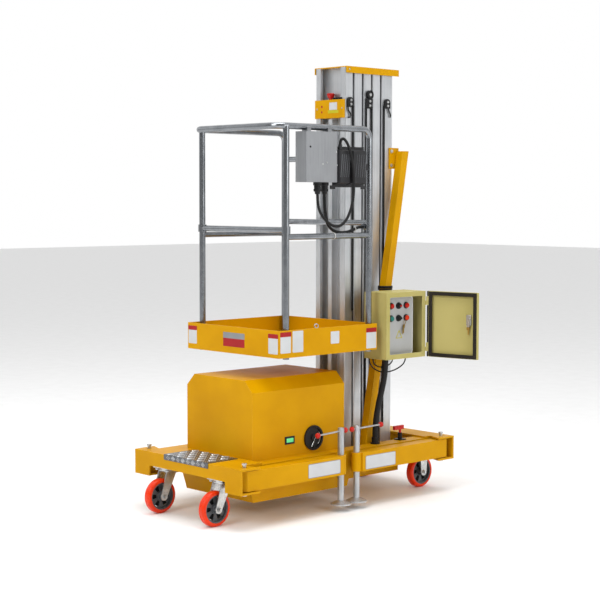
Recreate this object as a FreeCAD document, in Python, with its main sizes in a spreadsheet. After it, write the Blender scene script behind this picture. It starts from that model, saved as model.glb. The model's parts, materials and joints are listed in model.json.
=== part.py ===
import FreeCAD, Part
import math
import os
from types import SimpleNamespace

import Sketcher
from FreeCAD import Placement, Rotation, Vector

# Vertical mast lift: one aluminium mast of five nested sections on a pushed steel chassis.
# +X is the side of the ground control cabinet, -Y is the front with the step, +Z is up,
# and the origin lies on the floor under the middle of the chassis. All sizes are in mm.

os.makedirs("parts", exist_ok=True)
doc = FreeCAD.newDocument("mast_lift")

# name, value, what it measures
SIZES = [
    ("fit", 0.05, "radial clearance of a pin in its hole"),
    ("seat", 0.3, "clearance under a piece that rests on another body"),
    ("past", 1, "reach of a cutting tool past the face that it opens"),
    ("chassis_half_length", 662, "middle of the chassis to the outer face of a cross-beam"),
    ("chassis_half_width", 362, "middle of the chassis to the side edge of a cross-beam"),
    ("plate", 8, "thickness of the cross-beam plates"),
    ("deck_top", 262, "top of the cross-beams above the floor"),
    ("clevis_low", 154, "underside of the lower clevis plates"),
    ("beam_low", 200, "lower edge of a cross-beam between its clevises"),
    ("clevis_inner", 258, "inner edge of a clevis"),
    ("ear_depth", 106, "reach of a clevis plate along the side edge"),
    ("ear_root", 80, "reach of a clevis plate beside the rail"),
    ("front_deck", 184, "length of the front deck plate"),
    ("rear_deck", 118, "length of the rear deck plate"),
    ("rail_outer", 284, "outer face of a side rail"),
    ("rail_width", 70, "width of a side rail"),
    ("rail_low", 160, "underside of a side rail"),
    ("rail_wall", 4, "wall of a side rail"),
    ("step_half_width", 150, "half the width of the tread plate"),
    ("step_length", 165, "length of the tread plate"),
    ("step_lip", 24, "height of the turned-down lip of the tread plate"),
    ("sheet", 3, "sheet steel thickness"),
    ("pan_half_width", 226, "half the width of the battery pan"),
    ("pan_inset", 159, "front rim of the battery pan behind the face of the front cross-beam"),
    ("pan_rear", 114, "rear rim of the battery pan behind the middle"),
    ("pan_slope", 26, "lean of the pan's front and rear walls"),
    ("pan_low", 80, "underside of the battery pan"),
    ("cover_half_width", 220, "half the width of the power cover"),
    ("cover_inset", 185, "front of the power cover behind the face of the front cross-beam"),
    ("cover_rear", 73, "rear of the power cover behind the middle"),
    ("cover_shoulder", 549, "height where the cover's long edges start to slope"),
    ("cover_top", 600, "top of the power cover"),
    ("cover_bevel", 51, "width of the sloping edges of the power cover"),
    ("pack_height", 180, "height of the battery and pump block"),
    ("port_y", -120, "place of the round port along the cover"),
    ("port_z", 322, "height of the round port"),
    ("port_radius", 55, "outer radius of the round port"),
    ("gauge_y", -261, "place of the charge gauge along the cover"),
    ("gauge_z", 326, "height of the charge gauge"),
    ("mast_half_width", 97, "half the width of a mast section"),
    ("mast_inset", 466, "front face of the foremost mast section ahead of the rear cross-beam's face"),
    ("mast_pitch", 60, "step from one mast section to the next"),
    ("section_depth", 50, "depth of a sliding mast section"),
    ("column_depth", 82, "depth of the fixed mast section"),
    ("shoe_low", 80, "underside of the shoe that holds the foot of the mast"),
    ("shoe_wall", 4, "sheet of the mast shoe"),
    ("shoe_half", 112, "half the width of the mast shoe"),
    ("shoe_ahead", 10, "reach of the mast shoe ahead of the mast"),
    ("shoe_behind", 27, "reach of the mast shoe behind the fixed section"),
    ("lift_gap", 6, "space under the sliding sections when lowered"),
    ("mast_top", 1976, "top of the mast under its cap"),
    ("cap_gap", 5, "space between the lower sections and the cap"),
    ("rib_half", 12, "half the width of the middle rib of a section"),
    ("lip_inner", 66, "edge of the lip that closes a guide channel"),
    ("lip_depth", 14, "thickness of that lip"),
    ("channel_outer", 84, "outer wall of a guide channel"),
    ("channel_depth", 34, "depth of a guide channel"),
    ("slide_gap", 5, "space round a guide tongue in its channel"),
    ("tongue_neck", 40, "outer side of a guide tongue's neck"),
    ("chamber_low", 39, "front of the hollow chambers in a section"),
    ("chamber_high", 45, "rear of those chambers"),
    ("cap_sheet", 4, "thickness of the mast cap"),
    ("cap_side_gap", 5, "space between the cap's flanges and the mast"),
    ("cap_skirt", 30, "height of the cap with its flanges"),
    ("cap_behind", 24, "reach of the cap behind the fixed section"),
    ("stop_drop", 146, "top of the stop box below the top of the mast"),
    ("stop_height", 84, "height of the stop box on the mast"),
    ("stop_depth", 8, "depth of the stop box ahead of the mast"),
    ("brace_tube", 40, "square tube of a mast brace"),
    ("brace_top_x", 124, "top end of a brace, sideways"),
    ("brace_behind", 34, "top end of a brace behind the fixed section"),
    ("brace_drop", 376, "top end of a brace below the top of the mast"),
    ("brace_foot_x", 190, "foot of a brace, sideways"),
    ("brace_ahead", 32, "foot of a brace behind the front of the mast"),
    ("cabinet_inner", 190, "side of the cabinet that faces the mast"),
    ("cabinet_outer", 330, "open side of the cabinet"),
    ("cabinet_reach", 56, "reach of the cabinet behind the front face of the fixed section"),
    ("cabinet_length", 260, "length of the cabinet"),
    ("cabinet_low", 648, "underside of the cabinet"),
    ("cabinet_height", 304, "height of the cabinet"),
    ("cabinet_rim", 22, "width of the rim round the cabinet's opening"),
    ("door_thick", 16, "thickness of the cabinet door"),
    ("door_gap", 5, "space between the cabinet and its door"),
    ("door_open_deg", 101, "angle of the door from closed"),
    ("panel_depth", 30, "depth of the switch panel behind the opening"),
    ("panel_margin", 56, "gap between the switch panel and the cabinet's rear"),
    ("panel_top", 22, "gap over the switch panel"),
    ("panel_low", 14, "gap under the switch panel"),
    ("panel_corner", 14, "corner radius of the switch panel"),
    ("arm_x", 324, "pivot of an outrigger arm, sideways"),
    ("pivot_inset", 50, "pivot of an outrigger arm behind the face of its cross-beam"),
    ("arm_width", 60, "width of an outrigger arm"),
    ("arm_low", 166, "underside of an outrigger arm"),
    ("arm_height", 84, "height of an outrigger arm"),
    ("arm_end", 22, "length of an arm past its pivot"),
    ("arm_corner", 14, "bevel at the corners of an arm's pivot end"),
    ("pin_radius", 8, "radius of a pivot pin"),
    ("pin_head", 11, "radius of a pivot pin's head"),
    ("pin_rise", 13, "length of a pin above the deck, under its head"),
    ("pin_flange", 6, "thickness of a pin's head"),
    ("pin_nut", 10, "height of a pin's nut"),
    ("jack_y", 49, "place of a stowed jack, lengthways"),
    ("sleeve_radius", 23, "outer radius of the sleeve on an arm"),
    ("post_radius", 14, "radius of a jack's post"),
    ("jack_foot", 29, "height of a raised jack's foot above the floor"),
    ("foot_radius", 46, "radius of a jack's foot"),
    ("foot_rim", 6, "thickness of the foot's rim"),
    ("foot_height", 20, "height of the foot"),
    ("jack_top", 371, "top of a jack's post"),
    ("bar_radius", 4, "radius of the bar through a jack"),
    ("bar_z", 356, "height of that bar"),
    ("bar_long", 168, "long side of the bar"),
    ("bar_short", 32, "short side of the bar"),
    ("knob_radius", 12, "radius of the red knobs on the bar"),
    ("wheel_radius", 76, "radius of a wheel"),
    ("wheel_width", 38, "width of a tyre"),
    ("rim_radius", 60, "radius of a wheel's core"),
    ("tyre_crown", 12, "rounding of a tyre's shoulders"),
    ("hub_half", 23, "half the length of a hub"),
    ("hub_radius", 19, "radius of a hub"),
    ("axle_radius", 6, "radius of a wheel's axle"),
    ("caster_x", 186, "place of a caster, sideways"),
    ("caster_inset", 47, "middle of a caster's plate behind the face of its cross-beam"),
    ("trail", 44, "offset of a swivelling wheel from its swivel"),
    ("caster_plate", 5, "thickness of a caster's plate"),
    ("caster_plate_x", 100, "width of a caster's plate"),
    ("caster_plate_y", 84, "length of a caster's plate"),
    ("fork_top", 186, "top of a caster's fork"),
    ("fork_sheet", 5, "thickness of a caster's fork"),
    ("fork_half", 31, "middle of a fork to the outer face of a leg"),
    ("fork_leg", 54, "width of a leg at its top"),
    ("fork_eye", 18, "radius of a leg's lower end"),
    ("race_radius", 30, "radius of the swivel bearing"),
    ("tray_half_width", 308, "half the width of the platform"),
    ("tray_length", 593, "length of the platform"),
    ("carrier_thick", 4, "thickness of the plate between platform and mast"),
    ("tray_low", 699, "lower edge of the toe boards"),
    ("tray_high", 817, "upper edge of the toe boards"),
    ("floor_top", 719, "top of the platform's floor"),
    ("board", 4, "thickness of a toe board"),
    ("rail_radius", 14, "radius of the guard rail tube"),
    ("bar_tube", 13, "radius of the middle rails"),
    ("post_x", 280, "place of the guard rail posts, sideways"),
    ("post_front_inset", 63, "place of the front posts behind the front of the platform"),
    ("post_rear_inset", 26, "place of the rear posts ahead of the rear of the platform"),
    ("rail_inset", 16, "front run of the top rail behind the front of the platform"),
    ("rail_top", 1684, "height of the top rail"),
    ("rail_bend", 62, "bend radius of the top rail's front corners"),
    ("rail_drop", 40, "bend radius where the top rail turns down"),
    ("mid_rail", 1213, "height of the side rails' middle bar"),
    ("rear_mid_rail", 1268, "height of the middle bar behind the platform"),
    ("rear_high_rail", 1561, "height of the upper bar behind the platform"),
    ("box_inset", 151, "front of the control box behind the front of the platform"),
    ("box_length", 184, "length of the control box"),
    ("box_inner", 244, "inner side of the control box"),
    ("box_outer", 312, "outer side of the control box"),
    ("box_low", 1447, "underside of the control box"),
    ("box_high", 1664, "top of the control box"),
    ("case_length", 191, "length of the charger case"),
    ("case_low", 1426, "underside of the charger case"),
    ("case_high", 1604, "top of the charger case"),
    ("case_outer", 322, "outer side of the charger case"),
    ("case_depth", 42, "depth of the charger case"),
    ("base_ahead", 18, "reach of the plate between the rails ahead of the mast"),
    ("base_top", 172, "top of that plate"),
    ("pad_height", 120, "height of the slide pads at the foot of a sliding section"),
    ("foot_margin", 14, "margin of a brace's foot plate round its tube"),
    ("bracket_set", 48, "front edge of a brace's top plate behind the front of the fixed section"),
    ("bracket_rise", 15, "height of a brace's top plate above the end of its tube"),
    ("pack_half_width", 180, "half the width of the battery and pump block"),
    ("pack_gap", 24, "space ahead of the battery block"),
    ("pack_rear", 40, "rear of the battery block"),
    ("port_depth", 9, "depth of the round port"),
    ("port_rim", 9, "width of the round port's rim"),
    ("port_boss", 14, "radius of the boss in the round port"),
    ("lever_half", 5, "half the width of the port's lever"),
    ("gauge_half_y", 28, "half the length of the charge gauge"),
    ("gauge_half_z", 17, "half the height of the charge gauge"),
    ("isolator_x", 236, "place of the isolator, sideways"),
    ("isolator_set", 229, "place of the isolator behind the front of the mast"),
    ("isolator_radius", 10, "radius of the isolator's body"),
    ("isolator_height", 34, "height of the isolator's body"),
    ("key_stem", 15, "length of the stem under the isolator's handle"),
    ("key_half_length", 42, "reach of the isolator's handle ahead of its body"),
    ("key_half", 6, "half the width of the isolator's handle"),
    ("key_height", 19, "height of the isolator's handle"),
    ("foot_plate", 5, "thickness of the plate under the isolator"),
    ("axle_end", 6, "length of an axle outside its fork"),
    ("race_height", 4, "height of a swivel bearing's lower race"),
    ("core_width", 34, "width of a wheel's core"),
    ("web_thick", 12, "thickness of the disc of a wheel's core"),
    ("rim_wall", 6, "wall of the rim under the tread"),
    ("window_edge", 4, "material round a window of the core"),
    ("window_half", 13, "half the width of a window of the core"),
    ("arm_wall", 5, "wall of an outrigger arm"),
    ("pivot_block", 20, "solid length of an arm past its pivot"),
    ("post_bevel", 2, "bevel on top of a jack's post"),
    ("edge", 3, "small bevel along the corners of an extrusion"),
    ("column_corner", 20, "radius of the rear corners of the fixed section"),
    ("stop_half", 95, "half the width of the stop box's face"),
    ("stop_recess", 60, "half the width of the notch behind the stop box"),
    ("button_x", 8, "place of the stop button, sideways"),
    ("button_radius", 18, "radius of the stop button"),
    ("button_height", 22, "height of the stop button"),
    ("ear_plate", 6, "thickness of a brace's top plate"),
    ("bracket_length", 62, "length of a brace's top plate"),
    ("bracket_height", 98, "height of a brace's top plate"),
    ("bracket_inset", 50, "place of a cabinet bracket from the cabinet's end"),
    ("bracket_edge", 10, "side margin of a cabinet bracket"),
    ("hinge_out", 8, "place of the door's hinge ahead of the cabinet's open side"),
    ("hinge_back", 4, "place of the door's hinge behind the cabinet"),
    ("hinge_inset", 45, "place of a hinge from the cabinet's end"),
    ("hinge_half", 20, "half the height of a hinge"),
    ("hinge_pin", 3, "radius of a hinge pin"),
    ("hinge_knuckle", 6, "outer radius of a hinge knuckle"),
    ("hinge_leaf", 12, "length of a hinge leaf on the cabinet"),
    ("door_play", 2, "space between the door's edge and its knuckles"),
    ("door_lip", 15, "width of the door's gasket"),
    ("button_first", 58, "first button from the front of the cabinet"),
    ("button_step_y", 50, "space between buttons in a row"),
    ("button_step_z", 57, "space between the rows of buttons"),
    ("button_drop", 41, "first row of buttons below the panel's top"),
    ("switch_radius", 13, "radius of a push button"),
    ("switch_reach", 14, "length of a push button"),
    ("beam_x", 150, "place of a stiffener under the platform floor"),
    ("carrier_half", 88, "half the width of the plate between platform and mast"),
    ("post_foot", 9, "length of a post under the toe boards"),
    ("sleeve_height", 32, "height of an entry bar's sleeve"),
    ("sleeve_wall", 5, "wall of an entry bar's sleeve"),
    ("clip_half", 17, "half the width of a clip of the control box"),
    ("clip_length", 22, "length of a clip of the control box"),
    ("clip_inset", 20, "place of a clip from the end of the control box"),
    ("gland_radius", 13, "radius of a cable gland"),
    ("gland_drop", 40, "length of a cable gland under the control box"),
    ("loop_x", 285, "gland of the looped cable, sideways"),
    ("loop_inset", 91, "gland of the looped cable behind the front of the control box"),
    ("feed_x", 270, "gland of the feed cable, sideways"),
    ("feed_inset", 148, "gland of the feed cable behind the front of the control box"),
    ("supply_x", 256, "gland of the feed cable on the rear bar, sideways"),
    ("supply_z", 1250, "gland of the feed cable on the rear bar, height"),
    ("supply_gland", 18, "length of that gland"),
    ("case_flange", 6, "thickness of the charger case's flange"),
    ("lobe_split", 80, "middle of the gap between the lobes behind the front of the case"),
    ("lobe_gap", 6, "space between the two lobes of the charger case at their roots"),
    ("lobe_front", 3, "margin of the flange ahead of the lobes"),
    ("lobe_taper", 9, "slope of a lobe's sides from root to face"),
    ("lobe_margin", 11, "margin of the flange above, below and behind the lobes"),
    ("lug_reach", 14, "reach of a lug past the flange"),
    ("strap_low", 1502, "underside of the case's strap to the rear post"),
    ("strap_height", 28, "height of that strap"),
    ("lug_height", 16, "height of a lug"),
    ("neck_radius", 9, "radius of the cable neck on the case"),
    ("neck_height", 8, "height of the cable neck on the case"),
    ("neck_x", 302, "cable neck on the case, sideways"),
    ("neck_inset", 28, "cable neck behind the front of the charger case"),
    ("loop_radius", 6.25, "radius of the looped cable"),
    ("feed_radius", 7, "radius of the feed cable"),
    ("conduit_radius", 14, "radius of the conduit"),
    ("conduit_x", 72, "place of the conduit on the cabinet from its inner side"),
    ("conduit_ahead", 139, "place of the conduit ahead of the fixed section's front face"),
    ("wire_1_x", 25, "first thin cable from the cabinet's inner side"),
    ("wire_1_ahead", 196, "first thin cable ahead of the fixed section's front face"),
    ("wire_2_x", 42, "second thin cable from the cabinet's inner side"),
    ("wire_2_ahead", 190, "second thin cable ahead of the fixed section's front face"),
    ("wire_radius", 3, "radius of the thin cables under the cabinet"),
    ("boot_radius", 17, "radius of the conduit's boot"),
    ("boot_flange", 22, "radius of the boot's flange"),
]

SLIDING = (2, 3, 4, 5)
CORNER_STEPS = 4
WINDOWS = 6


class Size:
    """A size held by the sheet, or worked out from such sizes: its value and its expression."""

    def __init__(self, value, text):
        self.value = value
        self.text = text

    def __add__(self, other):
        return Size(self.value + amount(other), f"({self.text} + {words(other)})")

    def __radd__(self, other):
        return Size(amount(other) + self.value, f"({words(other)} + {self.text})")

    def __sub__(self, other):
        return Size(self.value - amount(other), f"({self.text} - {words(other)})")

    def __rsub__(self, other):
        return Size(amount(other) - self.value, f"({words(other)} - {self.text})")

    def __mul__(self, other):
        return Size(self.value * amount(other), f"({self.text} * {words(other)})")

    def __rmul__(self, other):
        return Size(amount(other) * self.value, f"({words(other)} * {self.text})")

    def __truediv__(self, other):
        return Size(self.value / amount(other), f"({self.text} / {words(other)})")

    def __neg__(self):
        return Size(-self.value, f"(0 - {self.text})")


def amount(item):
    return item.value if isinstance(item, Size) else float(item)


def words(item):
    return item.text if isinstance(item, Size) else repr(float(item))


sheet = doc.addObject("Spreadsheet::Sheet", "Sizes")
for row, (name, value, note) in enumerate(SIZES, start=1):
    sheet.set(f"A{row}", note)
    sheet.set(f"B{row}", str(value))
    sheet.setAlias(f"B{row}", name)
doc.recompute()
s = SimpleNamespace(**{name: Size(float(value), f"Sizes.{name}") for name, value, note in SIZES})
s.mast_low = s.shoe_low + s.shoe_wall
s.arm_y = s.chassis_half_length - s.pivot_inset
s.swivel_y = s.chassis_half_length - s.caster_inset
s.stop_high = s.mast_top - s.stop_drop
s.stop_low = s.stop_high - s.stop_height
s.brace_top_z = s.mast_top - s.brace_drop
s.mast_front = s.chassis_half_length - s.mast_inset
s.column_front = s.mast_front + len(SLIDING) * s.mast_pitch
s.column_rear = s.column_front + s.column_depth
s.pan_front = s.chassis_half_length - s.pan_inset
s.cover_front = s.chassis_half_length - s.cover_inset
s.tray_rear = s.mast_front - s.carrier_thick
s.tray_front = s.tray_rear - s.tray_length
s.post_front_y = s.tray_front + s.post_front_inset
s.post_rear_y = s.tray_rear - s.post_rear_inset
s.rail_front_y = s.tray_front + s.rail_inset
s.box_front = s.tray_front + s.box_inset
s.box_rear = s.box_front + s.box_length
s.loop_y = s.box_front + s.loop_inset
s.feed_y = s.box_front + s.feed_inset
s.cabinet_front = s.column_front + s.cabinet_reach - s.cabinet_length

nodes = {}
X_AXIS = Vector(1, 0, 0)
CARDINAL = {"x": Rotation(Vector(0, 1, 0), 90), "y": Rotation(Vector(1, 0, 0), -90), "z": Rotation()}


def drive(thing, **values):
    """Sets properties, bound to the sheet where the value is a Size."""
    for prop, value in values.items():
        path = prop.replace("__", ".")
        if isinstance(value, Size):
            thing.setExpression(path, value.text)
        else:
            setattr(thing, prop, value)


def place(thing, x=0, y=0, z=0, turn=None):
    """Puts a thing at x, y, z, turned by a Rotation."""
    thing.Placement = Placement(Vector(amount(x), amount(y), amount(z)), turn or Rotation())
    for axis, value in (("x", x), ("y", y), ("z", z)):
        if isinstance(value, Size):
            thing.setExpression(f"Placement.Base.{axis}", value.text)
    return thing


def box(x, y, z):
    """A block between two values along each axis."""
    block = doc.addObject("Part::Box", "block")
    drive(block, Length=x[1] - x[0], Width=y[1] - y[0], Height=z[1] - z[0])
    return place(block, x[0], y[0], z[0])


def frustum(x, y, z, taper):
    """A block whose face at the higher x is drawn in by the taper on its four sides."""
    block = doc.addObject("Part::Wedge", "lobe")
    drive(block, Ymin=0, Ymax=x[1] - x[0], Zmin=0, Zmax=y[1] - y[0], Xmin=0, Xmax=z[1] - z[0],
          Z2min=taper, Z2max=y[1] - y[0] - taper, X2min=taper, X2max=z[1] - z[0] - taper)
    return place(block, x[0], y[0], z[0], Rotation(Vector(0, 0, 1), Vector(1, 0, 0), Vector(0, 1, 0), "ZXY"))


def rod(radius, span, axis="z", at=(0, 0)):
    """A round bar along an axis: at holds its two other coordinates, in x, y, z order."""
    bar = doc.addObject("Part::Cylinder", "rod")
    drive(bar, Radius=radius, Height=span[1] - span[0])
    spots = {"x": (span[0], at[0], at[1]), "y": (at[0], span[0], at[1]), "z": (at[0], at[1], span[0])}
    return place(bar, *spots[axis], CARDINAL[axis])


def ball(radius, x, y, z):
    knob = doc.addObject("Part::Sphere", "ball")
    drive(knob, Radius=radius)
    return place(knob, x, y, z)


def fuse(*pieces):
    if len(pieces) == 1:
        return pieces[0]
    union = doc.addObject("Part::MultiFuse", "union")
    union.Shapes = list(pieces)
    return union


def cut(base, *tools):
    rest = doc.addObject("Part::Cut", "rest")
    rest.Base = base
    rest.Tool = fuse(*tools)
    return rest


def group(*pieces):
    """Solids that belong to one node and don't touch."""
    both = doc.addObject("Part::Compound", "set")
    both.Links = list(pieces)
    return both


def node(label, thing, x=0, y=0, z=0, turn=None):
    """Names a finished sub-part; its label is its file's name."""
    thing.Label = label
    if turn is not None or (x, y, z) != (0, 0, 0):
        place(thing, x, y, z, turn)
    nodes[label] = thing
    return thing


def origin_plane(body, role):
    return next(item for item in body.Origin.OriginFeatures if item.Role == role)


def outline(body, points, plane="XY_Plane", offset=0, loops=()):
    """A sketch of closed polygons whose corners are bound to the sheet."""
    sketch = body.newObject("Sketcher::SketchObject", "outline")
    sketch.AttachmentSupport = (origin_plane(body, plane), [""])
    sketch.MapMode = "FlatFace"
    if isinstance(offset, Size):
        sketch.setExpression("AttachmentOffset.Base.z", offset.text)
    elif offset:
        sketch.AttachmentOffset = Placement(Vector(0, 0, offset), Rotation())
    for loop in (points, *loops):
        first = sketch.GeometryCount
        count = len(loop)
        spots = [Vector(amount(u), amount(v), 0) for u, v in loop]
        for k in range(count):
            sketch.addGeometry(Part.LineSegment(spots[k], spots[(k + 1) % count]))
        for k in range(count):
            sketch.addConstraint(Sketcher.Constraint("Coincident", first + k, 2, first + (k + 1) % count, 1))
        for k, (u, v) in enumerate(loop):
            for kind, value in (("DistanceX", u), ("DistanceY", v)):
                rule = Sketcher.Constraint(kind, -1, 1, first + k, 1, amount(value))
                index = sketch.addConstraint(rule)
                if isinstance(value, Size):
                    sketch.setExpression(f"Constraints[{index}]", value.text)
    return sketch


def pad(body, sketch, length, reverse=False):
    solid = body.newObject("PartDesign::Pad", "pad")
    solid.Profile = sketch
    drive(solid, Length=length)
    solid.Reversed = reverse
    body.Tip = solid
    return solid


def pocket(body, sketch, length, reverse=False):
    hollow = body.newObject("PartDesign::Pocket", "pocket")
    hollow.Profile = sketch
    drive(hollow, Length=length)
    hollow.Reversed = reverse
    body.Tip = hollow
    return hollow


def spin(body, sketch, plane_axis="V_Axis"):
    solid = body.newObject("PartDesign::Revolution", "spin")
    solid.Profile = sketch
    solid.ReferenceAxis = (sketch, [plane_axis])
    solid.Angle = 360
    body.Tip = solid
    return solid


def new_body(name):
    return doc.addObject("PartDesign::Body", name)


def mirror_pairs(half):
    """Corners of a shape that is the same left and right, from its right-hand half, front to rear."""
    return list(half) + [(-u, v) for u, v in reversed(half)]


# Chassis

def chassis_frame():
    """Two box cross-beams with open clevises at their ends, joined by two tube rails."""
    pieces = []
    inside = s.chassis_half_length - s.plate
    rib_y = s.chassis_half_length - s.ear_depth
    shelf = s.rail_outer - s.plate
    for end in (-1, 1):
        edge = end * s.chassis_half_length

        def along(near, far):
            return (-far, -near) if end < 0 else (near, far)

        deck = s.front_deck if end < 0 else s.rear_deck
        face = along(inside, s.chassis_half_length)
        pieces.append(box((-s.chassis_half_width, s.chassis_half_width), face, (s.beam_low, s.deck_top)))
        pieces.append(box((-shelf, shelf), along(rib_y, inside), (s.beam_low, s.beam_low + s.plate)))
        pieces.append(box((-shelf, shelf), along(rib_y, rib_y + s.plate),
                          (s.beam_low, s.deck_top - s.plate)))
        top = new_body("deck")
        corners = mirror_pairs([
            (s.chassis_half_width, edge),
            (s.chassis_half_width, edge - end * s.ear_depth),
            (s.rail_outer, edge - end * s.ear_root),
            (s.rail_outer, edge - end * deck),
        ])
        pad(top, outline(top, corners, offset=s.deck_top - s.plate), s.plate)
        pieces.append(top)
        for side in (-1, 1):

            def across(near, far):
                return (-far, -near) if side < 0 else (near, far)

            pieces.append(box(across(s.clevis_inner, s.chassis_half_width), face,
                              (s.clevis_low, s.beam_low)))
            pieces.append(box(across(shelf, s.rail_outer), along(rib_y, inside),
                              (s.clevis_low, s.deck_top - s.plate)))
            ear = new_body("ear")
            corners = [
                (side * s.clevis_inner, edge),
                (side * s.chassis_half_width, edge),
                (side * s.chassis_half_width, edge - end * s.ear_depth),
                (side * s.rail_outer, edge - end * s.ear_root),
                (side * s.clevis_inner, edge - end * s.ear_root),
            ]
            pad(ear, outline(ear, corners, offset=s.clevis_low), s.plate)
            pieces.append(ear)
    rail_inner = s.rail_outer - s.rail_width
    for x in ((-s.rail_outer, -rail_inner), (rail_inner, s.rail_outer)):
        y = (-rib_y, rib_y)
        z = (s.rail_low, s.deck_top - s.plate)
        rail = box(x, y, z)
        core = box((x[0] + s.rail_wall, x[1] - s.rail_wall), y, (z[0] + s.rail_wall, z[1] - s.rail_wall))
        pieces.append(cut(rail, core))
    base = box((-rail_inner, rail_inner), (s.mast_front - s.base_ahead, rib_y),
               (s.base_top - s.plate, s.base_top))
    shoe_y = (s.mast_front - s.shoe_ahead, s.column_rear + s.shoe_behind)
    shoe = box((-s.shoe_half, s.shoe_half), shoe_y, (s.shoe_low, s.base_top))
    pieces += [base, shoe]
    wall = s.shoe_wall
    well = box((-s.shoe_half + wall, s.shoe_half - wall), (shoe_y[0] + wall, shoe_y[1] - wall),
               (s.mast_low, s.base_top + s.past))
    span = (s.clevis_low - s.past, s.deck_top + s.past)
    holes = [rod(s.pin_radius + s.fit, span, at=(i * s.arm_x, k * s.arm_y)) for i in (-1, 1) for k in (-1, 1)]
    node("chassis_frame", cut(fuse(*pieces), well, *holes))


def step_plate():
    """Tread plate on the front deck, folded down over the front edge."""
    front = -s.chassis_half_length
    x = (-s.step_half_width, s.step_half_width)
    top_z = s.deck_top + s.sheet
    top = box(x, (front - s.sheet, front + s.step_length), (s.deck_top, top_z))
    lip = box(x, (front - s.sheet, front), (top_z - s.step_lip, top_z))
    node("step_plate", fuse(top, lip))


def battery_pan():
    """Pan under the chassis for the battery and the pump, its end walls leaning outwards."""
    body = new_body("pan")

    def side_view(wall):
        lean = s.pan_slope
        return [
            (-s.pan_front + wall, s.rail_low),
            (-s.pan_front + wall + lean, s.pan_low + wall),
            (s.pan_rear - wall - lean, s.pan_low + wall),
            (s.pan_rear - wall, s.rail_low),
        ]

    pad(body, outline(body, side_view(0), "YZ_Plane", offset=-s.pan_half_width), 2 * s.pan_half_width)
    sketch = outline(body, side_view(s.sheet), "YZ_Plane", offset=-s.pan_half_width + s.sheet)
    pocket(body, sketch, 2 * s.pan_half_width - 2 * s.sheet, reverse=True)
    node("battery_pan", body)


def power_pack():
    """Battery and pump as one plain block on the floor of the pan."""
    low = s.pan_low + s.sheet
    x = (-s.pack_half_width, s.pack_half_width)
    y = (s.pan_slope - s.pan_front + s.pack_gap, s.pack_rear)
    node("power_pack", box(x, y, (low, low + s.pack_height)))


def power_cover():
    """Folded cover with two long sloping edges, open below, standing on the rails."""
    low = s.deck_top - s.plate

    def end_view(wall):
        return mirror_pairs([
            (s.cover_half_width - wall, low),
            (s.cover_half_width - wall, s.cover_shoulder - wall / 2),
            (s.cover_half_width - s.cover_bevel - wall / 2, s.cover_top - wall),
        ])

    body = new_body("cover")
    length = s.cover_front + s.cover_rear
    pad(body, outline(body, end_view(0), "XZ_Plane", offset=s.cover_front), length, reverse=True)
    sketch = outline(body, end_view(s.sheet), "XZ_Plane", offset=s.cover_front - s.sheet)
    pocket(body, sketch, length - 2 * s.sheet)
    node("power_cover", body)


def cover_fittings():
    """Dished round port with its small lever, and the charge gauge beside it."""
    x = s.cover_half_width
    rim = rod(s.port_radius, (x, x + s.port_depth), "x", (s.port_y, s.port_z))
    dish = rod(s.port_radius - s.port_rim, (x + s.port_depth / 3, x + s.port_depth + s.past), "x",
               (s.port_y, s.port_z))
    boss = rod(s.port_boss, (x + s.port_depth / 3, x + s.port_depth), "x", (s.port_y, s.port_z))
    lever = box((x + s.port_depth / 3, x + s.port_depth), (s.port_y - s.lever_half, s.port_y + s.lever_half),
                (s.port_z - s.port_radius + s.port_rim, s.port_z))
    node("round_port", fuse(cut(rim, dish), boss, lever))
    gauge = box((x, x + s.sheet), (s.gauge_y - s.gauge_half_y, s.gauge_y + s.gauge_half_y),
                (s.gauge_z - s.gauge_half_z, s.gauge_z + s.gauge_half_z))
    node("charge_gauge", gauge)


def pivot_pins():
    """Headed pins of the outrigger arms with their nuts under the clevises."""
    pins = []
    for i in (-1, 1):
        for k in (-1, 1):
            at = (i * s.arm_x, k * s.arm_y)
            top = s.deck_top + s.pin_rise
            shank = rod(s.pin_radius, (s.clevis_low - s.pin_nut, top), at=at)
            head = rod(s.pin_head, (top, top + s.pin_flange), at=at)
            nut = rod(s.pin_head, (s.clevis_low - s.pin_nut, s.clevis_low), at=at)
            pins.append(fuse(shank, head, nut))
    node("pivot_pins", group(*pins))


def isolator():
    """Battery isolator on the near rail: black body with a red key."""
    low = s.deck_top - s.plate
    top = low + s.isolator_height
    middle = s.mast_front + s.isolator_set
    body = rod(s.isolator_radius, (low, top), at=(s.isolator_x, middle))
    foot = box((s.isolator_x - 2 * s.isolator_radius, s.isolator_x + 2 * s.isolator_radius),
               (middle - 2 * s.isolator_radius, middle + 2 * s.isolator_radius), (low, low + s.foot_plate))
    node("isolator_body", fuse(body, foot))
    handle = top + s.key_stem
    stem = rod(s.key_half, (top, handle), at=(s.isolator_x, middle))
    bar = box((s.isolator_x - s.key_half, s.isolator_x + s.key_half),
              (middle - s.key_half_length, middle + s.key_half_length / 2), (handle, handle + s.key_height))
    node("isolator_key", fuse(stem, bar))


# Casters

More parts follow.
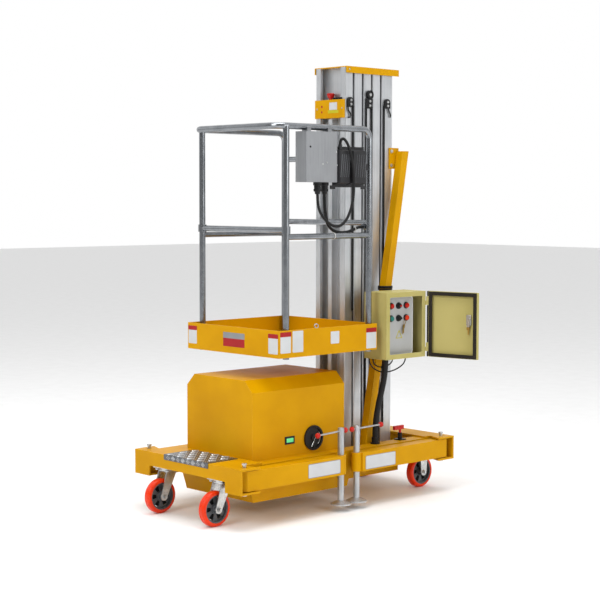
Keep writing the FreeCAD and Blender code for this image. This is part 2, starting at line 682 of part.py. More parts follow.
def fork(offset, swivels):
    """Pressed fork: two legs that taper to the axle, a bridge and the axle itself."""
    body_top = s.fork_top if swivels else s.beam_low - s.caster_plate
    half = s.fork_leg / 2
    legs = []
    for side in (-1, 1):
        leg = new_body("leg")
        corners = [
            (-half, body_top),
            (-offset - s.fork_eye, s.wheel_radius),
            (-offset + s.fork_eye, s.wheel_radius),
            (half, body_top),
        ]
        edge = s.fork_half - s.fork_sheet if side > 0 else -s.fork_half
        pad(leg, outline(leg, corners, "YZ_Plane", offset=edge), s.fork_sheet)
        eye = rod(s.fork_eye, (edge, edge + s.fork_sheet), "x", (-offset, s.wheel_radius))
        legs += [leg, eye]
    bridge = box((-s.fork_half, s.fork_half), (-half, half), (body_top - s.fork_sheet, body_top))
    reach = s.fork_half + s.axle_end
    axle = rod(s.axle_radius, (-reach, reach), "x", (-offset, s.wheel_radius))
    pieces = [*legs, bridge, axle]
    if swivels:
        pieces.append(rod(s.race_radius, (body_top, body_top + s.race_height)))
    else:
        pieces.append(box((-s.caster_plate_x / 2, s.caster_plate_x / 2), (-s.caster_plate_y / 2,
                          s.caster_plate_y / 2), (s.beam_low - s.caster_plate, s.beam_low)))
    return fuse(*pieces)


def swivel_plate():
    """Bolted plate of a swivel caster with the upper race of its bearing."""
    low = s.beam_low - s.caster_plate
    plate = box((-s.caster_plate_x / 2, s.caster_plate_x / 2), (-s.caster_plate_y / 2, s.caster_plate_y / 2),
                (low, s.beam_low))
    race = rod(s.race_radius, (s.fork_top + s.race_height + s.seat, low))
    return fuse(plate, race)


def edges_along_x(body):
    """Names of a body's straight edges that run along x."""
    found = []
    for number, edge in enumerate(body.Shape.Edges, start=1):
        direction = edge.tangentAt(edge.FirstParameter)
        if direction.cross(X_AXIS).Length < abs(direction.x):
            found.append(f"Edge{number}")
    return found


def outer_edges(body, radius):
    """Names of a turned body's round edges of one radius."""
    found = []
    for number, edge in enumerate(body.Shape.Edges, start=1):
        if isinstance(edge.Curve, Part.Circle) and abs(edge.Curve.Radius - amount(radius)) < 0.01:
            found.append(f"Edge{number}")
    return found


def tyre(label, x, y):
    """Polyurethane tread with rounded shoulders."""
    body = new_body("tread")
    half = s.wheel_width / 2
    ring = [(-half, s.rim_radius), (half, s.rim_radius), (half, s.wheel_radius), (-half, s.wheel_radius)]
    turned = spin(body, outline(body, ring), "H_Axis")
    doc.recompute()
    crown = body.newObject("PartDesign::Fillet", "crown")
    crown.Base = (turned, outer_edges(body, s.wheel_radius))
    drive(crown, Radius=s.tyre_crown)
    body.Tip = crown
    node(label, body, x, y, s.wheel_radius)


def wheel_core(label, x, y):
    """Spoked core: rim ring, thin disc with windows and a bored hub."""
    body = new_body("core")
    half = s.core_width / 2
    web = s.web_thick / 2
    bore = s.axle_radius + s.fit
    ring_inner = s.rim_radius - s.rim_wall
    section = [
        (-s.hub_half, bore), (s.hub_half, bore), (s.hub_half, s.hub_radius), (web, s.hub_radius),
        (web, ring_inner), (half, ring_inner), (half, s.rim_radius), (-half, s.rim_radius),
        (-half, ring_inner), (-web, ring_inner), (-web, s.hub_radius), (-s.hub_half, s.hub_radius),
    ]
    spin(body, outline(body, section), "H_Axis")
    inner = s.hub_radius + s.window_edge
    outer = ring_inner - s.window_edge
    window = [(inner, -s.window_half / 2), (outer, -s.window_half), (outer, s.window_half),
              (inner, s.window_half / 2)]
    sketch = outline(body, window, "YZ_Plane", offset=-half)
    hole = pocket(body, sketch, s.core_width, reverse=True)
    wheel = body.newObject("PartDesign::PolarPattern", "windows")
    wheel.Originals = [hole]
    wheel.Axis = (origin_plane(body, "X_Axis"), [""])
    wheel.Angle = 360
    wheel.Occurrences = WINDOWS
    body.Tip = wheel
    node(label, body, x, y, s.wheel_radius)


# Outriggers

def outrigger_arm(label, x, y, turn):
    """Square tube with a bored pivot block at one end and the jack's sleeve at the other."""
    reach = s.arm_y - s.jack_y
    half = s.arm_width / 2
    tip = s.arm_end
    corner = s.arm_corner
    body = new_body("arm")
    plan = [
        (-tip, -half + corner), (-tip + corner, -half), (reach - s.sleeve_radius / 2, -half),
        (reach - s.sleeve_radius / 2, half), (-tip + corner, half), (-tip, half - corner),
    ]
    pad(body, outline(body, plan, offset=s.arm_low), s.arm_height)
    wall = s.arm_wall
    core = [
        (s.pivot_block, -half + wall), (reach - s.sleeve_radius, -half + wall),
        (reach - s.sleeve_radius, half - wall), (s.pivot_block, half - wall),
    ]
    pocket(body, outline(body, core, offset=s.arm_low + wall), s.arm_height - 2 * wall, reverse=True)
    span = (s.arm_low, s.arm_low + s.arm_height)
    sleeve = rod(s.sleeve_radius, span, at=(reach, 0))
    bore = rod(s.post_radius + s.fit, (span[0] - s.past, span[1] + s.past), at=(reach, 0))
    eye = rod(s.pin_radius + s.fit, (span[0] - s.past, span[1] + s.past))
    node(label, cut(fuse(body, sleeve), bore, eye), x, y, 0, turn)


def jack(label, x, y, turn_deg):
    """Screw jack: a round post with a dished foot, and a cross hole for its bar."""
    body = new_body("post")
    side = [
        (0, s.jack_foot), (s.foot_radius, s.jack_foot), (s.foot_radius, s.jack_foot + s.foot_rim),
        (s.post_radius, s.jack_foot + s.foot_height), (s.post_radius, s.jack_top - s.post_bevel),
        (s.post_radius - s.post_bevel, s.jack_top), (0, s.jack_top),
    ]
    spin(body, outline(body, side, "XZ_Plane"))
    hole = rod(s.bar_radius + s.fit, (-s.post_radius - s.past, s.post_radius + s.past), "x", (0, s.bar_z))
    turn = Rotation(Vector(0, 0, 1), turn_deg)
    node(f"jack_post_{label}", cut(body, hole), x, y, 0, turn)
    bar = rod(s.bar_radius, (-s.bar_short, s.bar_long), "x", (0, s.bar_z))
    ends = [ball(s.knob_radius, tip, 0, s.bar_z) for tip in (-s.bar_short, s.bar_long)]
    node(f"jack_bar_{label}", fuse(bar, *ends), x, y, 0, turn)


# Mast

def mast_profile(depth, tongues):
    """Corners of a mast extrusion, its front at y = 0: two undercut channels ahead, hooked tongues behind."""
    right_front = [
        (s.rib_half, 0),
        (s.rib_half, s.channel_depth),
        (s.channel_outer, s.channel_depth),
        (s.channel_outer, s.lip_depth),
        (s.lip_inner, s.lip_depth),
        (s.lip_inner, 0),
        (s.mast_half_width - s.edge, 0),
        (s.mast_half_width, s.edge),
    ]
    if not tongues:
        corner = s.column_corner
        turns = [math.pi / 2 * k / CORNER_STEPS for k in range(CORNER_STEPS + 1)]
        centre = (s.mast_half_width - corner, depth - corner)
        rear = [(centre[0] + corner * math.cos(turn), centre[1] + corner * math.sin(turn)) for turn in turns]
        return mirror_pairs(right_front + rear)
    gap = s.mast_pitch - depth
    neck_end = depth + gap + s.lip_depth + s.slide_gap
    head_end = depth + gap + s.channel_depth - s.slide_gap
    inner = s.rib_half + s.slide_gap
    rear = [
        (s.mast_half_width, depth - s.edge),
        (s.mast_half_width - s.edge, depth),
        (s.tongue_neck, depth),
        (s.tongue_neck, neck_end),
        (s.channel_outer - s.slide_gap, neck_end),
        (s.channel_outer - s.slide_gap, head_end),
        (inner, head_end),
        (inner, depth),
    ]
    return mirror_pairs(right_front + rear)


def chambers(front, rear):
    """Hollow chambers of an extrusion, one each side of the middle."""
    loops = []
    for side in (-1, 1):
        low = side * (s.rib_half + s.edge)
        high = side * (s.channel_outer + s.edge)
        loops.append([(low, front), (high, front), (high, rear), (low, rear)])
    return loops


def mast_sections():
    """Five nested extrusions: the fixed column at the rear, then four that climb one on another."""
    body = new_body("column")
    rear = s.column_depth - s.column_corner
    sketch = outline(body, mast_profile(s.column_depth, False), loops=chambers(s.chamber_low, rear))
    pad(body, sketch, s.mast_top - s.cap_gap - s.mast_low)
    node("mast_section_1", body, 0, s.column_front, s.mast_low)
    for number in SLIDING:
        body = new_body("section")
        loops = chambers(s.chamber_low, s.chamber_high)
        sketch = outline(body, mast_profile(s.section_depth, True), loops=loops)
        top = s.mast_top if number == SLIDING[-1] else s.mast_top - s.cap_gap
        pad(body, sketch, top - s.mast_low - s.lift_gap)
        channel = s.mast_pitch
        loops = []
        for side in (-1, 1):
            low = side * (s.rib_half + s.seat)
            high = side * (s.channel_outer - s.seat)
            rear = (channel + s.lip_depth + s.seat, channel + s.channel_depth - s.seat)
            loops.append([(low, rear[0]), (high, rear[0]), (high, rear[1]), (low, rear[1])])
        pad(body, outline(body, loops[0], loops=loops[1:]), s.pad_height)
        y = s.mast_front + (SLIDING[-1] - number) * s.mast_pitch
        if number < SLIDING[-1]:
            node(f"mast_section_{number}", body, 0, y, s.mast_low + s.lift_gap)
            continue
        recess = box((-s.stop_recess, s.stop_recess), (y - s.past, y + s.channel_depth),
                     (s.stop_low - s.cap_gap, s.mast_top + s.past))
        place(body, 0, y, s.mast_low + s.lift_gap)
        node("mast_section_5", cut(body, recess))


def mast_cap():
    """Folded cap on the foremost section that shelters the tops of the others."""
    side = s.mast_half_width + s.cap_side_gap
    outer = side + s.cap_sheet
    y = (s.mast_front, s.column_rear + s.cap_behind)
    top = s.mast_top + s.cap_sheet
    sheet_top = box((-outer, outer), y, (s.mast_top, top))
    flanges = [box(x, y, (top - s.cap_skirt, top)) for x in ((-outer, -side), (side, outer))]
    node("mast_cap", fuse(sheet_top, *flanges))


def stop_box():
    """Stop box in the head of the foremost section, with its push button on top."""
    face = box((-s.stop_half, s.stop_half), (s.mast_front - s.stop_depth, s.mast_front),
               (s.stop_low, s.stop_high))
    inside = box((-s.stop_recess + s.seat, s.stop_recess - s.seat),
                 (s.mast_front, s.mast_front + s.channel_depth - s.seat), (s.stop_low, s.stop_high))
    node("stop_box", fuse(face, inside))
    at = (-s.button_x, s.mast_front + s.button_radius - s.stop_depth)
    stem = rod(s.button_radius / 2, (s.stop_high, s.stop_high + s.button_height), at=at)
    head = rod(s.button_radius, (s.stop_high + s.button_height / 2, s.stop_high + s.button_height), at=at)
    node("stop_button", fuse(stem, head))


def mast_braces():
    """Two square tubes from the column's head down to the base, each with its bolted plates."""
    pieces = []
    for side in (-1, 1):
        foot = Vector(side * amount(s.brace_foot_x), amount(s.mast_front + s.brace_ahead), amount(s.base_top))
        head = Vector(side * amount(s.brace_top_x), amount(s.column_rear + s.brace_behind),
                      amount(s.brace_top_z))
        lean = head - foot
        half = amount(s.brace_tube) / 2
        wall = amount(s.rail_wall)
        faces = []
        for size in (half, half - wall):
            ring = [Vector(u * size, v * size, 0) for u, v in ((-1, -1), (1, -1), (1, 1), (-1, 1), (-1, -1))]
            faces.append(Part.Face(Part.makePolygon([foot + spot for spot in ring])))
        tube = faces[0].extrude(lean).cut(faces[1].extrude(lean))
        pad_half = half + amount(s.foot_margin)
        pad_side = amount(s.rail_outer - s.rail_width - s.brace_foot_x)
        low = Part.makeBox(2 * pad_side, 2 * pad_half, amount(s.plate),
                           Vector(foot.x - pad_side, foot.y - pad_half, foot.z))
        thick = amount(s.ear_plate)
        x = amount(s.mast_half_width) if side > 0 else -amount(s.mast_half_width) - thick
        high = Part.makeBox(thick, amount(s.bracket_length), amount(s.bracket_height),
                            Vector(x, amount(s.column_front + s.bracket_set),
                                   amount(s.brace_top_z + s.bracket_rise - s.bracket_height)))
        pieces.append(tube.fuse([low, high]))
    braces = doc.addObject("Part::Feature", "braces")
    braces.Shape = Part.makeCompound(pieces)
    node("mast_braces", braces)


# Ground controls

def cabinet():
    """Control cabinet open to the near side, held off the column by two flat brackets."""
    x = (s.cabinet_inner, s.cabinet_outer)
    y = (s.cabinet_front, s.cabinet_front + s.cabinet_length)
    z = (s.cabinet_low, s.cabinet_low + s.cabinet_height)
    wall = s.sheet
    shell = box(x, y, z)
    inside = box((x[0] + wall, x[1] - wall), (y[0] + wall, y[1] - wall), (z[0] + wall, z[1] - wall))
    rim = s.cabinet_rim
    mouth = box((x[1] - wall - s.past, x[1] + s.past), (y[0] + rim, y[1] - rim), (z[0] + rim, z[1] - rim))
    pieces = [cut(shell, inside, mouth)]
    for level in (z[0] + s.bracket_inset, z[1] - s.bracket_inset):
        pieces.append(box((s.mast_half_width, x[0]), (s.column_front + s.bracket_edge, y[1] - s.bracket_edge),
                          (level - s.plate / 2, level + s.plate / 2)))
    hinge_x = x[1] + s.hinge_out
    hinge_y = y[1] + s.hinge_back
    for level in (z[0] + s.hinge_inset, z[1] - s.hinge_inset):
        lower = (level - s.hinge_half, level - s.seat / 2)
        pin = rod(s.hinge_pin, (level - s.hinge_half, level + s.hinge_half), at=(hinge_x, hinge_y))
        knuckle = rod(s.hinge_knuckle, lower, at=(hinge_x, hinge_y))
        leaf = box((x[1] - s.hinge_leaf, hinge_x), (y[1], hinge_y), lower)
        pieces += [pin, knuckle, leaf]
    node("cabinet", fuse(*pieces))


def cabinet_door():
    """Door of the cabinet with its gasket and lock, swung open on two knuckle hinges."""
    face = s.door_gap - s.hinge_out
    x = (face, face + s.door_thick)
    free = -s.cabinet_length - s.hinge_back
    z = (s.cabinet_low, s.cabinet_low + s.cabinet_height)
    near = -s.hinge_knuckle - s.door_play
    tray = box(x, (free, near), z)
    wall = s.sheet
    hollow = box((x[0] - s.past, x[1] - wall), (free + wall, near - wall), (z[0] + wall, z[1] - wall))
    edge = s.door_lip
    seal = box((x[0], x[0] + wall), (free + wall, near - wall), (z[0] + wall, z[1] - wall))
    window = box((x[0] - s.past, x[0] + wall + s.past), (free + wall + edge, near - wall - edge),
                 (z[0] + wall + edge, z[1] - wall - edge))
    pieces = [cut(tray, hollow), cut(seal, window)]
    for level in (z[0] + s.hinge_inset, z[1] - s.hinge_inset):
        span = (level + s.seat / 2, level + s.hinge_half)
        pieces.append(rod(s.hinge_knuckle, span))
        pieces.append(box((x[0], x[0] + wall), (near - 2 * wall, 0), span))
    bores = [rod(s.hinge_pin + s.fit, (level, level + s.hinge_half + s.past))
             for level in (z[0] + s.hinge_inset, z[1] - s.hinge_inset)]
    hinge_x = s.cabinet_outer + s.hinge_out
    hinge_y = s.cabinet_front + s.cabinet_length + s.hinge_back
    turn = Rotation(Vector(0, 0, 1), amount(s.door_open_deg))
    node("cabinet_door", cut(fuse(*pieces), *bores), hinge_x, hinge_y, 0, turn)


def switch_panel():
    """Inner panel of the cabinet with two rows of push buttons."""
    wall = s.sheet
    x = s.cabinet_outer - s.panel_depth
    y = (s.cabinet_front + wall, s.cabinet_front + s.cabinet_length - s.panel_margin)
    z = (s.cabinet_low + s.panel_low, s.cabinet_low + s.cabinet_height - s.panel_top)
    body = new_body("panel")
    frame = [(y[0], z[0]), (y[1], z[0]), (y[1], z[1]), (y[0], z[1])]
    sheet_part = pad(body, outline(body, frame, "YZ_Plane", offset=x - wall), wall)
    doc.recompute()
    corners = body.newObject("PartDesign::Fillet", "corners")
    corners.Base = (sheet_part, edges_along_x(body))
    drive(corners, Radius=s.panel_corner)
    body.Tip = corners
    node("switch_panel", body)
    buttons = []
    for row in (0, 1):
        for column in (0, 1, 2):
            at = (s.cabinet_front + s.button_first + column * s.button_step_y,
                  z[1] - s.button_drop - row * s.button_step_z)
            buttons.append(rod(s.switch_radius, (x, x + s.switch_reach), "x", at))
    node("switch_buttons", group(*buttons))


# Platform

def platform_tray():
    """Folded tray with toe boards and stiffeners under its floor."""
    x = (-s.tray_half_width, s.tray_half_width)
    y = (s.tray_front, s.tray_rear)
    shell = box(x, y, (s.tray_low, s.tray_high))
    wall = s.board
    inner_x = (x[0] + wall, x[1] - wall)
    inner_y = (y[0] + wall, y[1] - wall)
    upper = box(inner_x, inner_y, (s.floor_top, s.tray_high + s.past))
    lower = box(inner_x, inner_y, (s.tray_low - s.past, s.floor_top - wall))
    beams = [box((side * s.beam_x - s.plate / 2, side * s.beam_x + s.plate / 2), inner_y,
                 (s.tray_low, s.floor_top - wall)) for side in (-1, 1)]
    holes = [rod(s.rail_radius + s.seat, (s.tray_low, s.floor_top + s.past), at=(i * s.post_x, post_y))
             for i in (-1, 1) for post_y in (s.post_front_y, s.post_rear_y)]
    node("platform_tray", cut(fuse(cut(shell, upper, lower), *beams), *holes))
    plate = box((-s.carrier_half, s.carrier_half), (s.tray_rear, s.mast_front), (s.tray_low, s.tray_high))
    node("carrier_plate", plate)


def bent_tube(points, radii, radius):
    """A tube along straight runs joined by tangent arcs, and its path's length."""
    edges = []
    start = points[0]
    for k in range(1, len(points) - 1):
        before = (points[k - 1] - points[k]).normalize()
        after = (points[k + 1] - points[k]).normalize()
        turn = math.pi - before.getAngle(after)
        reach = radii[k - 1] * math.tan(turn / 2)
        first = points[k] + before * reach
        last = points[k] + after * reach
        centre = (before + after).normalize() * (radii[k - 1] / math.cos(turn / 2))
        middle = points[k] + centre - (before + after).normalize() * radii[k - 1]
        edges.append(Part.LineSegment(start, first).toShape())
        edges.append(Part.Arc(first, middle, last).toShape())
        start = last
    edges.append(Part.LineSegment(start, points[-1]).toShape())
    path = Part.Wire(edges)
    ring = Part.Wire(Part.Circle(points[0], points[1] - points[0], radius).toShape())
    return path.makePipeShell([ring], True, False), path.Length


def guard_rails():
    """Bent top rail on four posts, with middle bars on three sides."""
    tube = amount(s.rail_radius)
    side = amount(s.post_x)
    front = amount(s.rail_front_y)
    rear = amount(s.post_rear_y)
    top = amount(s.rail_top)
    low = amount(s.tray_low - s.post_foot)
    bend = amount(s.rail_bend)
    drop = amount(s.rail_drop)
    hoop = [
        Vector(side, rear, low), Vector(side, rear, top), Vector(side, front, top),
        Vector(-side, front, top), Vector(-side, rear, top), Vector(-side, rear, low),
    ]
    shape, length = bent_tube(hoop, [drop, bend, bend, drop], tube)
    bars = []
    post_y = amount(s.post_front_y)
    for x in (-side, side):
        bars.append(Part.makeCylinder(tube, top - low, Vector(x, post_y, low)))
        bars.append(Part.makeCylinder(amount(s.bar_tube), rear - post_y,
                                      Vector(x, post_y, amount(s.mid_rail)), Vector(0, 1, 0)))
    for z in (s.rear_mid_rail, s.rear_high_rail):
        bars.append(Part.makeCylinder(amount(s.bar_tube), 2 * side, Vector(-side, rear, amount(z)),
                                      Vector(1, 0, 0)))
    gland = Part.makeCylinder(amount(s.gland_radius), amount(s.supply_gland),
                              Vector(amount(s.supply_x), rear - amount(s.supply_gland), amount(s.supply_z)),
                              Vector(0, 1, 0))
    rails = doc.addObject("Part::Feature", "rails")
    rails.Shape = shape.fuse([*bars, gland])
    node("guard_rails", rails)


def entry_bar():
    """Bar across the entry that slides up the front posts on two sleeves."""
    low = s.mid_rail + s.bar_tube + s.seat
    span = (low, low + s.sleeve_height)
    middle = low + s.sleeve_height / 2
    at = [(i * s.post_x, s.post_front_y) for i in (-1, 1)]
    sleeves = [rod(s.rail_radius + s.sleeve_wall, span, at=spot) for spot in at]
    bar = rod(s.bar_tube, (-s.post_x, s.post_x), "x", (s.post_front_y, middle))
    open_span = (low - s.past, low + s.sleeve_height + s.past)
    bores = [rod(s.rail_radius + s.fit, open_span, at=spot) for spot in at]
    node("entry_bar", cut(fuse(*sleeves, bar), *bores))


def platform_controls():
    """Control box under the near top rail and the ribbed charger case behind it."""
    rear = s.box_front + s.box_length
    body = box((s.box_inner, s.box_outer), (s.box_front, rear), (s.box_low, s.box_high))
    x = (s.post_x - s.clip_half, s.post_x + s.clip_half)
    starts = (s.box_front + s.clip_inset, rear - s.clip_inset - s.clip_length)
    clips = [box(x, (y, y + s.clip_length), (s.box_high, s.rail_top)) for y in starts]
    groove = rod(s.rail_radius + s.seat, (s.box_front, rear), "y", (s.post_x, s.rail_top))
    glands = [rod(s.gland_radius, (s.box_low - s.gland_drop, s.box_low), at=spot)
              for spot in ((s.loop_x, s.loop_y), (s.feed_x, s.feed_y))]
    node("control_box", fuse(body, cut(fuse(*clips), groove), *glands))
    inner = s.case_outer - s.case_depth
    root = inner + s.case_flange
    start = rear + s.seat
    end = rear + s.case_length
    flange = box((inner, root), (start, end), (s.case_low, s.case_high))
    post = s.post_rear_y - s.rail_radius - s.seat
    strap = box((inner, root), (end, post), (s.strap_low, s.strap_low + s.strap_height))
    split = rear + s.lobe_split
    face = (root, s.case_outer)
    z = (s.case_low + s.lobe_margin, s.case_high - s.lobe_margin)
    front_lobe = frustum(face, (start + s.lobe_front, split - s.lobe_gap / 2), z, s.lobe_taper)
    rear_lobe = frustum(face, (split + s.lobe_gap / 2, end - s.lobe_margin), z, s.lobe_taper)
    lugs = [box((inner, root), (y - s.lug_reach, y + s.lug_reach),
                (s.case_low - s.lug_height / 2, s.case_low + s.lug_height / 2)) for y in (start, end)]
    neck = rod(s.neck_radius, (z[1] - s.lobe_taper, s.case_high + s.neck_height),
               at=(s.neck_x, rear + s.neck_inset))
    node("charger_case", fuse(flange, strap, front_lobe, rear_lobe, *lugs, neck))


# Cables: offsets (x, y, z) of each route's points from where it leaves its gland or its box

LOOP_CABLE = [
    (0, 0, 0), (0, 0, -45), (5, 12, -95), (15, 51, -138), (24, 99, -157), (33, 139, -133), (42, 163, -82),
    (49, 173, -22), (52, 172, 38), (53, 167, 91), (52, 159, 141), (49, 149, 181), (42, 139, 213),
    (30, 128, 233), (17, 121, 223), (17, 121, 205),
]
FEED_CABLE = [
    (0, 0, 0), (0, 0, -45), (-3, 8, -95), (-9, 26, -143), (-14, 67, -173), (-16, 122, -182), (-15, 176, -176),
    (-14, 220, -157), (-14, 250, -157),
]
CONDUIT = [
    (0, 0, 0), (0, 0, -44), (-3, -7, -101), (-8, -19, -159), (-14, -31, -217), (-20, -38, -273),
    (-24, -40, -326), (-24, -40, -364),
]
FIRST_WIRE = [
    (0, 0, 0), (0, 0, -22), (6, 22, -50), (17, 60, -68), (31, 105, -68), (47, 148, -52), (65, 172, -24),
    (65, 172, 0),
]
SECOND_WIRE = [
    (0, 0, 0), (0, 0, -18), (3, 20, -37), (8, 52, -45), (14, 84, -39), (24, 106, -20), (24, 106, 0),
]


def cord(label, route, radius, x, y, z):
    """A cable along its route from x, y, z, each arc as large as its two runs allow."""
    start = Vector(amount(x), amount(y), amount(z))
    points = [start + Vector(*offset) for offset in route]
    radii = []
    for k in range(1, len(points) - 1):
        before = points[k - 1] - points[k]
        after = points[k + 1] - points[k]
        turn = math.pi - before.getAngle(after)
        radii.append(0.45 * min(before.Length, after.Length) / math.tan(turn / 2))
    shape, length = bent_tube(points, radii, radius)
    exact = math.pi * radius ** 2 * length
    print(f"{label}: {length:.0f} mm long, bends of {', '.join(f'{r:.0f}' for r in radii)} mm,",
          f"volume off by {shape.Volume / exact - 1:.4f}")
    tube = doc.addObject("Part::Feature", "cable")
    tube.Shape = shape
    node(label, tube)


def cables():
    gland_end = s.box_low - s.gland_drop
    cord("loop_cable", LOOP_CABLE, amount(s.loop_radius), s.loop_x, s.loop_y, gland_end)
    cord("feed_cable", FEED_CABLE, amount(s.feed_radius), s.feed_x, s.feed_y, gland_end)
    top = (s.cabinet_inner + s.conduit_x, s.column_front - s.conduit_ahead, s.cabinet_low)
    cord("mast_conduit", CONDUIT, amount(s.conduit_radius), *top)
    cord("cabinet_loop_1", FIRST_WIRE, amount(s.wire_radius), s.cabinet_inner + s.wire_1_x,
         s.column_front - s.wire_1_ahead, s.cabinet_low)
    cord("cabinet_loop_2", SECOND_WIRE, amount(s.wire_radius), s.cabinet_inner + s.wire_2_x,
         s.column_front - s.wire_2_ahead, s.cabinet_low)
    low = s.deck_top - s.plate
    reach_x, reach_y, drop = CONDUIT[-1]
    at = (top[0] + reach_x, top[1] + reach_y)
    boot = rod(s.boot_radius, (low, top[2] + drop), at=at)
    foot = rod(s.boot_flange, (low, low + s.ear_plate), at=at)
    node("conduit_boot", fuse(boot, foot))


ahead = Rotation(Vector(0, 0, 1), 90)
astern = Rotation(Vector(0, 0, 1), -90)
SIDES = (("near", 1), ("far", -1))

# end of the machine, its sign along y, turn of an arm, heading of the jack's bar on the near and far side
ENDS = (("front", -1, ahead, (-81, -96)), ("rear", 1, astern, (94, 102)))

chassis_frame()
step_plate()
battery_pan()
power_pack()
power_cover()
cover_fittings()
pivot_pins()
isolator()
node("swivel_plates", group(*[place(swivel_plate(), i * s.caster_x, -s.swivel_y) for side, i in SIDES]))
node("rear_forks", group(*[place(fork(0, False), i * s.caster_x, s.swivel_y) for side, i in SIDES]))
for number, (side, i) in enumerate(SIDES):
    node(f"swivel_fork_{side}", fork(s.trail, True), i * s.caster_x, -s.swivel_y)
    for place_name, y in (("front", -s.swivel_y - s.trail), ("rear", s.swivel_y)):
        tyre(f"tyre_{place_name}_{side}", i * s.caster_x, y)
        wheel_core(f"wheel_core_{place_name}_{side}", i * s.caster_x, y)
    for end, k, turn, headings in ENDS:
        outrigger_arm(f"outrigger_arm_{end}_{side}", i * s.arm_x, k * s.arm_y, turn)
        jack(f"{end}_{side}", i * s.arm_x, k * s.jack_y, headings[number])
mast_sections()
mast_cap()
stop_box()
mast_braces()
cabinet()
cabinet_door()
switch_panel()
platform_tray()
guard_rails()
entry_bar()
platform_controls()
cables()

doc.recompute()
failed = [thing.Name for thing in doc.Objects if "Invalid" in thing.State or "Error" in thing.State]
if failed:
    raise SystemExit(f"these objects did not compute: {failed}")
for label, thing in nodes.items():
    if thing.Shape.isNull() or not thing.Shape.isValid():
        raise SystemExit(f"{label} has no sound shape")
for label, thing in nodes.items():
    thing.Shape.exportStep(f"parts/{label}.step")
print(f"{len(nodes)} sub-parts written")
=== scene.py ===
import json
import math

import bmesh
import bpy
import numpy as np
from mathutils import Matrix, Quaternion, Vector


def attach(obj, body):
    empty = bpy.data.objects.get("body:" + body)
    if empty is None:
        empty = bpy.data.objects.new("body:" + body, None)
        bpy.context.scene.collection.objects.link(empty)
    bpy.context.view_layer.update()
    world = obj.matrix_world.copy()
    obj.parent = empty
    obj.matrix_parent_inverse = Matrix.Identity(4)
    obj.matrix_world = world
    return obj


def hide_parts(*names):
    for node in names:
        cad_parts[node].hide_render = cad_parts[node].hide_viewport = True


# Vertical mast lift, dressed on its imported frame. Metres, +Z up, +X is the side of the ground cabinet.
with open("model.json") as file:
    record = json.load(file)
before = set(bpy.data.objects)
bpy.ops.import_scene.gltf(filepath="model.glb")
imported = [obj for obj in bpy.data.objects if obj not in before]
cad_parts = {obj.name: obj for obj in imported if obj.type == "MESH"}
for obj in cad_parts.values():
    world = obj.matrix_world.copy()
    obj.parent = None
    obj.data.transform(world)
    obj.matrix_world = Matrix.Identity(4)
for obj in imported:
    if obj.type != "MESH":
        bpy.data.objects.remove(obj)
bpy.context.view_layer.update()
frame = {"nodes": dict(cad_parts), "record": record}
print("frame loaded:", len(frame["nodes"]), "nodes")


# Shapes: each is a grid of points worked out at once, and the quads between them

def gridQuads(rows, cols, closed=False):
    # Quads of a grid of rows by cols points; closed joins the last column to the first.
    row, col = np.meshgrid(np.arange(rows - 1), np.arange(cols if closed else cols - 1), indexing="ij")
    here, above, nextCol = row * cols, (row + 1) * cols, (col + 1) % cols
    return np.stack([here + col, here + nextCol, above + nextCol, above + col], -1).reshape(-1, 4)


def turned(profile, at=(0, 0, 0), axis="z", steps=32):
    # A profile of (radius, distance along the axis) swept round it: x = r cos t, y = r sin t, z = distance.
    line = np.array(profile, float)
    t = np.linspace(0, 2 * math.pi, steps, endpoint=False)
    across = line[:, :1] * np.cos(t)
    upward = line[:, :1] * np.sin(t)
    along = np.repeat(line[:, 1:2], steps, 1)
    order = {"z": (across, upward, along), "x": (along, across, upward), "y": (upward, along, across)}[axis]
    return np.stack(order, -1).reshape(-1, 3) + np.array(at, float), gridQuads(len(line), steps, True)


def block(low, high, bevel=0.001, steps=2):
    # A box with rounded edges: each point of a small sphere's grid, moved out to its own corner.
    low, high = np.minimum(low, high), np.maximum(low, high)
    half = (high - low) / 2
    bevel = min(bevel, half.min() * 0.98)
    quarter = np.linspace(0, math.pi / 2, steps + 1)
    lon = np.concatenate([quarter + k * math.pi / 2 for k in range(4)])
    lat = np.concatenate([quarter - math.pi / 2, quarter])[:, None]
    sx, sy = np.repeat([1, -1, -1, 1], steps + 1), np.repeat([1, 1, -1, -1], steps + 1)
    sz = np.repeat([-1, 1], steps + 1)[:, None]
    core = half - bevel
    x = core[0] * sx + bevel * np.cos(lat) * np.cos(lon)
    y = core[1] * sy + bevel * np.cos(lat) * np.sin(lon)
    z = np.broadcast_to(core[2] * sz + bevel * np.sin(lat), x.shape)
    corner = np.arange(4) * (steps + 1)
    caps = np.array([corner[::-1], corner + (len(lat) - 1) * len(lon)])
    points = np.stack([x, y, z], -1).reshape(-1, 3) + (low + high) / 2
    return points, np.concatenate([gridQuads(*x.shape, True), caps])


def pipe(path, radius, steps=12):
    # A ring carried along a path, square to it: path + radius (cos t side - sin t up), with flat ends.
    path = np.array(path, float)
    ahead = np.gradient(path, axis=0)
    ahead /= np.linalg.norm(ahead, axis=1)[:, None]
    side = np.cross(ahead, (0.13, 0.29, 0.95))  # any direction that no path here runs along
    side /= np.linalg.norm(side, axis=1)[:, None]
    up = np.cross(side, ahead)
    t = np.linspace(0, 2 * math.pi, steps, endpoint=False)
    ring = np.cos(t)[:, None] * side[:, None, :] - np.sin(t)[:, None] * up[:, None, :]
    tips = [np.repeat(path[k:k + 1], steps, 0)[None] for k in (0, len(path) - 1)]
    points = np.concatenate([tips[0], path[:, None, :] + radius * ring, tips[1]]).reshape(-1, 3)
    return points, gridQuads(len(path) + 2, steps, True)


